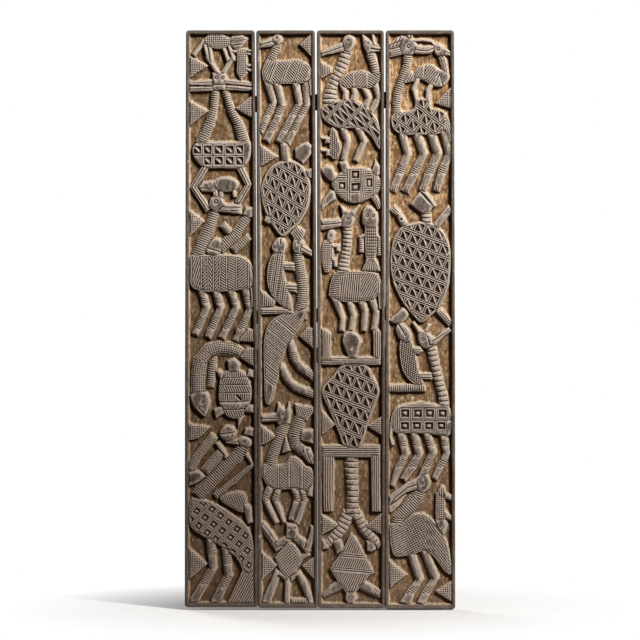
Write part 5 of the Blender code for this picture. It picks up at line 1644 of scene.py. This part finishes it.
def bar_ring(along, half_tall, half_thick, seed):
    """Points round a bar at a place along it, as (up, out) from its middle line."""
    for k in range(BAR_SIDES):
        turn = 2 * math.pi * (k + 0.5) / BAR_SIDES
        shape = max(abs(math.cos(turn)), abs(math.sin(turn)))
        across, out = math.cos(turn) / shape, math.sin(turn) / shape
        wave = noise(np.array([along * 1000]), np.array([k * 9.0]), 31, seed)[0]
        arris = BAR_ARRIS if abs(across * out) > 0.97 else 0.0
        wear = (BAR_WEAR + BAR_WAVE * wave + arris) / 1000
        flat = 0.2 if abs(out) > 0.99 else 1.0
        yield across * (half_tall - wear), out * (half_thick - wear * flat)


def hewn_batten(name, seed, material):
    """A rough bar in place of a batten: flat where it meets the planks and the wall."""
    low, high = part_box(name)
    middle_x, middle_y, middle_z = ((a + b) / 2 for a, b in zip(low, high))
    rise, length, tall = bar_slant(name)
    steps = int(length * 1000 / BAR_STEP)
    points = []
    for i in range(steps + 1):
        along = -length / 2 + length * i / steps
        for up, out in bar_ring(along, tall / 2, (high.y - low.y) / 2, seed):
            x = middle_x + along * math.cos(rise) - up * math.sin(rise)
            z = middle_z + along * math.sin(rise) + up * math.cos(rise)
            points.append((x, middle_y + out, z))
    faces = []
    for start in range(0, steps * BAR_SIDES, BAR_SIDES):
        for k in range(BAR_SIDES):
            after = (k + 1) % BAR_SIDES
            end = start + BAR_SIDES
            faces.append((start + k, start + after, end + after, end + k))
    faces.append(tuple(range(BAR_SIDES))[::-1])
    faces.append(tuple(steps * BAR_SIDES + k for k in range(BAR_SIDES)))
    mesh = bpy.data.meshes.new(name)
    mesh.from_pydata(points, [], faces)
    mesh.validate()
    stand_in(name, "_hewn", mesh, material)


# Colours of the wood, dark to light where there are three.

RAISED_COLOURS = ((0.044, 0.031, 0.023), (0.112, 0.084, 0.066), (0.235, 0.185, 0.148))
RAISED_FIBRE = (0.030, 0.022, 0.018)
RIM_STAIN = (0.056, 0.034, 0.020)
GROUND_COLOURS = ((0.066, 0.031, 0.013), (0.250, 0.145, 0.066), (0.600, 0.410, 0.228))
GROUND_RED = (0.200, 0.092, 0.036)
GROUND_GREY = (0.240, 0.180, 0.120)
GROUND_SPECK = (0.120, 0.066, 0.030)
LOW_GROUND = (0.125, 0.085, 0.055)
# Pale dust, also the painted highlight on faces turned to the key light.
DUST_HIGHLIGHT = (0.800, 0.640, 0.440)
# Dark dirt, also the painted shade and painted shadow.
DIRT_AND_SHADE = (0.044, 0.018, 0.006)
# Worn pale wood, also the painted highlight on raised faces turned to the key light.
WORN_AND_LIT_WOOD = (0.640, 0.536, 0.444)
PALE_WOOD = (0.780, 0.600, 0.380)
LOW_TONE = (0.38, 0.32, 0.30)
SIDE_DARK = (0.075, 0.052, 0.035)
SIDE_LIGHT = (0.250, 0.185, 0.130)
SIDE_GREY = (0.320, 0.265, 0.210)
BAR_COLOURS = ((0.040, 0.027, 0.018), (0.110, 0.075, 0.050), (0.20, 0.145, 0.10))
BAR_PATCH = (0.16, 0.12, 0.085)
BAR_FIBRE = (0.025, 0.016, 0.010)

# Each plank's tint of the raised wood and of the ground, and how dark its low end is.
TINTS = {
    "board_1": ((1.0, 0.98, 0.94), (0.84, 0.86, 0.88), 0.75),
    "board_2": ((1.0, 1.0, 0.98), (1.0, 1.0, 1.0), 0.5),
    "board_3": ((1.24, 1.18, 1.12), (1.45, 1.42, 1.38), 0.45),
    "board_4": ((1.15, 1.16, 1.20), (1.55, 1.50, 1.45), 0.3),
}

# The direction of the key light in the panel's plane, to the right and up, which dust, wear and
# painted highlight face and painted shade faces away from; and the heights in metres between
# which the ground and then the whole plank darken towards the foot.
LIT_SIDE = (0.62, 0.78)
GROUND_DARKENS = (0.05, -1.35)
PLANK_DARKENS = (-0.40, -1.15)


# Materials.


class Shades:
    """A material's node tree, with a short call for each kind of node."""

    def __init__(self, name):
        self.material = bpy.data.materials.new(name)
        self.material.use_nodes = True
        self.tree = self.material.node_tree
        self.shader = self.tree.nodes["Principled BSDF"]
        place = self.tree.nodes.new("ShaderNodeTexCoord")
        self.place = place.outputs["Object"]
        self.normal = place.outputs["Normal"]

    def put(self, socket, value):
        if isinstance(value, bpy.types.NodeSocket):
            self.tree.links.new(value, socket)
        else:
            socket.default_value = value

    def add(self, kind, inputs, **settings):
        """A node of that kind, with its settings and its inputs by name or number."""
        node = self.tree.nodes.new("ShaderNode" + kind)
        for key, value in settings.items():
            setattr(node, key, value)
        for key, value in inputs.items():
            self.put(node.inputs[key], value)
        return node

    def surface(self, **inputs):
        """Inputs of the material's shader, with _ for a space in their names."""
        for key, value in inputs.items():
            self.put(self.shader.inputs[key.replace("_", " ")], value)

    def mask(self, name):
        return self.add("Attribute", {}, attribute_name=name).outputs["Fac"]

    def facing(self, across, up):
        """How far the surface faces a direction in the panel's plane, from -1 to 1."""
        inputs = {0: self.normal, 1: (across, 0.0, up)}
        return self.add("VectorMath", inputs, operation="DOT_PRODUCT").outputs["Value"]

    def upward(self):
        return self.add("SeparateXYZ", {"Vector": self.place}).outputs["Z"]

    def stretched(self, *scale):
        return self.add("Mapping", {"Vector": self.place, "Scale": scale}).outputs["Vector"]

    def noise(self, vector, scale, detail, rough, warp=0.0):
        inputs = {"Vector": vector, "Scale": scale, "Detail": detail, "Roughness": rough}
        return self.add("TexNoise", {**inputs, "Distortion": warp}).outputs["Fac"]

    def ramp(self, value, *stops):
        """Colours at positions along a value."""
        node = self.add("ValToRGB", {"Fac": value})
        elements = node.color_ramp.elements
        while len(elements) < len(stops):
            elements.new(0.5)
        for element, (position, colour) in zip(elements, stops):
            element.position = position
            element.color = (*colour, 1.0)
        return node.outputs["Color"]

    def level(self, value, start, end, low=0.0, high=1.0):
        """A value's stretch from start to end, turned into low to high."""
        span = {"From Min": start, "From Max": end, "To Min": low, "To Max": high}
        return self.add("MapRange", {"Value": value, **span}).outputs["Result"]

    def mix(self, share, first, second, blend="MIX"):
        node = self.add("Mix", {}, data_type="RGBA", blend_type=blend)
        self.put(node.inputs["Factor"], share)
        for key, value in (("A", first), ("B", second)):
            socket = [s for s in node.inputs if s.name == key and s.type == "RGBA"][0]
            self.put(socket, (*value, 1.0) if isinstance(value, tuple) else value)
        return [s for s in node.outputs if s.type == "RGBA"][0]

    def maths(self, operation, first, second):
        return self.add("Math", {0: first, 1: second}, operation=operation).outputs["Value"]

    def plus(self, first, second):
        return self.maths("ADD", first, second)

    def times(self, first, *factors):
        for factor in factors:
            first = self.maths("MULTIPLY", first, factor)
        return first

    def bump(self, height, depth, **normal):
        inputs = {"Height": height, "Distance": depth, "Strength": 1.0, **normal}
        return self.add("Bump", inputs).outputs["Normal"]


def grain(shades):
    """Fine fibres, coarser streaks and large patches, all running up the wood, and specks."""
    fibres = shades.noise(shades.stretched(1.0, 1.0, 0.06), 640.0, 3.0, 0.6)
    streaks = shades.noise(shades.stretched(1.0, 1.0, 0.12), 110.0, 5.0, 0.62, 0.5)
    patches = shades.noise(shades.place, 21.0, 4.0, 0.62, 0.4)
    specks = shades.noise(shades.place, 430.0, 3.0, 0.7)
    return fibres, streaks, patches, specks


def tinted(colours, tint):
    return ([c * t for c, t in zip(colour, tint)] for colour in colours)


def figure_colour(shades, tint, grains):
    """Grey-brown wood of the figures and rims, darker where it was handled less."""
    fibres, _, patches, _ = grains
    dark, mid, light = tinted(RAISED_COLOURS, tint)
    wear = shades.noise(shades.stretched(1.0, 1.0, 0.55), 75.0, 5.0, 0.7, 0.5)
    blend = shades.plus(shades.times(wear, 0.6), shades.times(patches, 0.4))
    colour = shades.ramp(blend, (0.42, dark), (0.5, mid), (0.60, light))
    colour = shades.mix(shades.level(fibres, 0.45, 0.64, 0.0, 0.65), colour, RAISED_FIBRE)
    stained = shades.times(shades.mask("rim"), shades.level(wear, 0.44, 0.60, 0.95, 0.4))
    return shades.mix(stained, colour, RIM_STAIN)


def ground_colour(shades, tint, grains, mottle):
    """Dusty ochre of the sunk ground, with red-brown and grey places, darker at the foot."""
    _, _, patches, specks = grains
    dark, mid, light = tinted(GROUND_COLOURS, tint)
    blend = shades.plus(shades.times(mottle, 0.7), shades.times(patches, 0.3))
    colour = shades.ramp(blend, (0.40, dark), (0.49, mid), (0.58, light))
    stain = shades.noise(shades.stretched(1.0, 1.0, 0.45), 46.0, 4.0, 0.65, 0.5)
    colour = shades.mix(shades.level(stain, 0.5, 0.60, 0.0, 0.8), colour, GROUND_RED)
    colour = shades.mix(shades.level(stain, 0.46, 0.36, 0.0, 0.55), colour, GROUND_GREY)
    colour = shades.mix(shades.level(specks, 0.5, 0.64, 0.0, 0.6), colour, GROUND_SPECK)
    low = shades.level(shades.upward(), *GROUND_DARKENS)
    low = shades.times(low, shades.level(patches, 0.38, 0.6, 0.3, 0.85))
    return shades.mix(low, colour, LOW_GROUND)


def dust_and_highlight(shades, colour, specks, mottle):
    """Pale dust and painted highlight on what faces up and right, towards the key light, and
    pale wood on worn edges.
    """
    height = shades.mask("raised")
    edge = shades.mask("edge")
    broken = shades.level(mottle, 0.41, 0.56, 0.1, 1.0)
    lit_dust = shades.mix(shades.level(height, 0.55, 0.85), DUST_HIGHLIGHT, WORN_AND_LIT_WOOD)
    inner = shades.level(shades.mask("cut"), 0.25, 0.6)
    lit_dust = shades.mix(inner, lit_dust, DUST_HIGHLIGHT)
    # Painted highlight: faces turned to the key light take the pale colour.
    lit = shades.level(shades.facing(*LIT_SIDE), 0.2, 0.58)
    share = shades.maths("MAXIMUM", shades.level(height, 0.5, 0.9, 0.95, 0.7), inner)
    bare = shades.level(shades.mask("rim"), 0.3, 1.0, 1.0, 0.12)
    colour = shades.mix(shades.times(lit, share, bare, broken), colour, lit_dust)
    # Dust and painted light up and right of higher ground, on the side the key light reaches.
    lit_beside = shades.level(shades.mask("dust_and_highlight"), 0.2, 0.8)
    colour = shades.mix(shades.times(lit_beside, broken, 0.6), colour, DUST_HIGHLIGHT)
    ragged = shades.plus(edge, shades.level(specks, 0.3, 0.7, -0.18, 0.18))
    worn = shades.times(shades.level(ragged, 0.11, 0.46), 0.85, bare)
    return shades.mix(worn, colour, WORN_AND_LIT_WOOD)


def painted_shade_and_dirt(shades, colour):
    """Dark dirt and painted shade in cuts, painted shade on what faces down and left, away from
    the key light, and painted shadow in the lee of what stands up and right.
    """
    # Dirt and painted shade at the bottoms of cuts.
    edge = shades.level(shades.mask("edge"), 0.14, -0.14)
    groove = shades.times(shades.level(shades.mask("cut"), 0.02, 0.12), edge, 0.9)
    colour = shades.mix(groove, colour, DIRT_AND_SHADE)
    # Painted shade on faces turned away from the key light.
    facing = shades.facing(*LIT_SIDE)
    unlit_shade = shades.times(shades.level(facing, -0.1, -0.5), 0.8)
    colour = shades.mix(unlit_shade, colour, DIRT_AND_SHADE)
    # Painted shadow in the lee of higher ground up and right, less on faces turned to the light.
    lee_shadow = shades.level(shades.mask("lee_shadow"), 0.12, 0.6)
    lee_shadow = shades.times(lee_shadow, shades.level(facing, 0.4, 0.12), 0.85)
    return shades.mix(lee_shadow, colour, DIRT_AND_SHADE)


def unseen_colour(shades, grains):
    """Plain brown wood of the sides and the back, with grey streaks."""
    fibres, streaks, patches, _ = grains
    colour = shades.mix(shades.level(fibres, 0.35, 0.7), SIDE_DARK, SIDE_LIGHT)
    colour = shades.mix(shades.level(streaks, 0.42, 0.64, 0.0, 0.5), colour, SIDE_GREY)
    return shades.mix(shades.level(patches, 0.40, 0.62, 0.0, 0.2), colour, SIDE_DARK)


def carved_wood(name, raised_tint, ground_tint, low_shade):
    """Weathered carved wood: grey-brown figures, ochre ground, worn edges, painted shade in
    corners and on what faces away from the key light, and painted highlight on what faces it.
    """
    shades = Shades(name)
    grains = grain(shades)
    fibres, _, _, specks = grains
    mottle = shades.noise(shades.stretched(1.0, 1.0, 0.38), 150.0, 6.0, 0.75, 0.6)
    height = shades.mask("raised")
    ragged = shades.plus(height, shades.level(specks, 0.3, 0.7, -0.1, 0.1))
    ground = ground_colour(shades, ground_tint, grains, mottle)
    figures = figure_colour(shades, raised_tint, grains)
    colour = shades.mix(shades.level(ragged, 0.5, 0.8), ground, figures)
    # Dust, painted highlight, dirt, painted shade and painted shadow over the wood's colour.
    colour = painted_shade_and_dirt(shades, dust_and_highlight(shades, colour, specks, mottle))
    low = shades.level(shades.upward(), *PLANK_DARKENS, 0.0, low_shade)
    colour = shades.mix(low, colour, LOW_TONE, "MULTIPLY")
    colour = shades.mix(shades.mask("chip"), colour, PALE_WOOD)
    colour = shades.mix(shades.mask("unseen"), colour, unseen_colour(shades, grains))
    rough = shades.level(height, 0.3, 0.9, 0.93, 0.56)
    rough = shades.plus(rough, shades.level(mottle, 0.4, 0.6, -0.1, 0.1))
    shine = shades.level(height, 0.3, 0.9, 0.12, 0.45)
    coarse = shades.bump(mottle, 0.0022)
    fine = shades.bump(fibres, 0.0008, Normal=coarse)
    normal = shades.bump(specks, 0.0008, Normal=fine)
    shades.surface(Base_Color=colour, Roughness=rough, Specular_IOR_Level=shine, Normal=normal)
    return shades.material


def batten_wood(name):
    """Dark rough-sawn wood, its grain along the bar."""
    shades = Shades(name)
    fibres = shades.noise(shades.stretched(0.05, 1.0, 1.0), 480.0, 3.0, 0.6)
    streaks = shades.noise(shades.stretched(0.06, 1.0, 1.0), 90.0, 4.0, 0.6, 0.4)
    patches = shades.noise(shades.place, 11.0, 4.0, 0.6)
    colour = shades.ramp(streaks, *zip((0.3, 0.55, 0.75), BAR_COLOURS))
    colour = shades.mix(shades.level(patches, 0.45, 0.7, 0.0, 0.55), colour, BAR_PATCH)
    colour = shades.mix(shades.level(fibres, 0.5, 0.66, 0.0, 0.4), colour, BAR_FIBRE)
    rough = shades.level(fibres, 0.3, 0.7, 0.78, 0.95)
    normal = shades.bump(fibres, 0.0007, Normal=shades.bump(streaks, 0.0016))
    shades.surface(Base_Color=colour, Roughness=rough, Specular_IOR_Level=0.3, Normal=normal)
    return shades.material


# Light, floor and camera, in metres. A light's place is measured from the panel's middle; its
# size, power and colour follow.

LIGHTS = {
    "key": ((3.0, -3.7, 3.4), 0.55, 445.0, (1.0, 0.985, 0.97)),
    "fill": ((-2.5, -6.0, 1.0), 3.0, 6.0, (1.0, 0.86, 0.72)),
    "back": ((-3.0, 4.5, 2.5), 2.5, 150.0, (1.0, 1.0, 1.0)),
}
AMBIENT = 0.052
AMBIENT_COLOUR = (1.0, 0.72, 0.48)
FLOOR_GAP = 0.003
FLOOR_RADIUS = 0.95
FLOOR_COLOUR = (0.93, 0.93, 0.92, 1.0)
FLOOR_FADES = (0.35 * FLOOR_RADIUS, 0.98 * FLOOR_RADIUS)
WIDTH_SEEN = 1.92
CAMERA_DISTANCE = 9.0
SENSOR = 36.0
IMAGE_MIDDLE_UP = 0.8637


def area_light(name, centre, place, size, power, colour):
    data = bpy.data.lights.new(name, "AREA")
    data.shape = "DISK"
    data.size = size
    data.energy = power
    data.color = colour
    light = bpy.data.objects.new(name, data)
    bpy.context.scene.collection.objects.link(light)
    light.location = centre + Vector(place)
    light.rotation_euler = (centre - light.location).to_track_quat("-Z", "Y").to_euler()


def pale_floor(height):
    """A round pale floor that thins out into the white round it."""
    bpy.ops.mesh.primitive_circle_add(vertices=96, radius=FLOOR_RADIUS, fill_type="NGON")
    floor = bpy.context.object
    floor.name = "floor"
    floor.location = (0, 0, height)
    shades = Shades("pale_floor")
    distance = shades.add("VectorMath", {0: shades.place}, operation="LENGTH").outputs["Value"]
    fading = shades.level(distance, *FLOOR_FADES, 1.0, 0.0)
    shades.surface(Base_Color=FLOOR_COLOUR, Roughness=0.9, Alpha=fading)
    floor.data.materials.append(shades.material)


def white_surroundings():
    """A world that is white to the camera and gives a weak warm light."""
    world = bpy.data.worlds.new("studio")
    bpy.context.scene.world = world
    world.use_nodes = True
    nodes, links = world.node_tree.nodes, world.node_tree.links
    seen = nodes.new("ShaderNodeLightPath").outputs["Is Camera Ray"]
    strength = nodes.new("ShaderNodeMapRange")
    strength.inputs["To Min"].default_value = AMBIENT
    strength.inputs["To Max"].default_value = 1.0
    links.new(seen, strength.inputs["Value"])
    links.new(strength.outputs["Result"], nodes["Background"].inputs["Strength"])
    tone = nodes.new("ShaderNodeValToRGB")
    tone.color_ramp.elements[0].color = (*AMBIENT_COLOUR, 1.0)
    tone.color_ramp.elements[1].color = (1.0, 1.0, 1.0, 1.0)
    links.new(seen, tone.inputs["Fac"])
    links.new(tone.outputs["Color"], nodes["Background"].inputs["Color"])


def camera_in_front(front):
    data = bpy.data.cameras.new("camera")
    data.sensor_width = SENSOR
    data.lens = SENSOR * CAMERA_DISTANCE / WIDTH_SEEN
    data.clip_end = 60.0
    camera = bpy.data.objects.new("camera", data)
    bpy.context.scene.collection.objects.link(camera)
    panel_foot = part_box("board_1")[1].z - DRAWN_HEIGHT / 1000
    camera.location = (0.0, front - CAMERA_DISTANCE, panel_foot + IMAGE_MIDDLE_UP)
    camera.rotation_euler = (math.pi / 2, 0, 0)
    bpy.context.scene.camera = camera


for number, (board_name, tints) in enumerate(TINTS.items()):
    carved_plank(board_name, 100 * (number + 1), carved_wood(board_name + "_wood", *tints))
bar_wood = batten_wood("hewn_wood")
for number, batten_name in enumerate(("upper_batten", "middle_batten", "lower_batten")):
    hewn_batten(batten_name, 700 + number, bar_wood)

camera_in_front(cad_box[0].y)
white_surroundings()
for light_name, settings in LIGHTS.items():
    area_light(light_name, (cad_box[0] + cad_box[1]) / 2, *settings)
pale_floor(cad_box[0].z - FLOOR_GAP)
bpy.context.scene.view_settings.view_transform = "Standard"
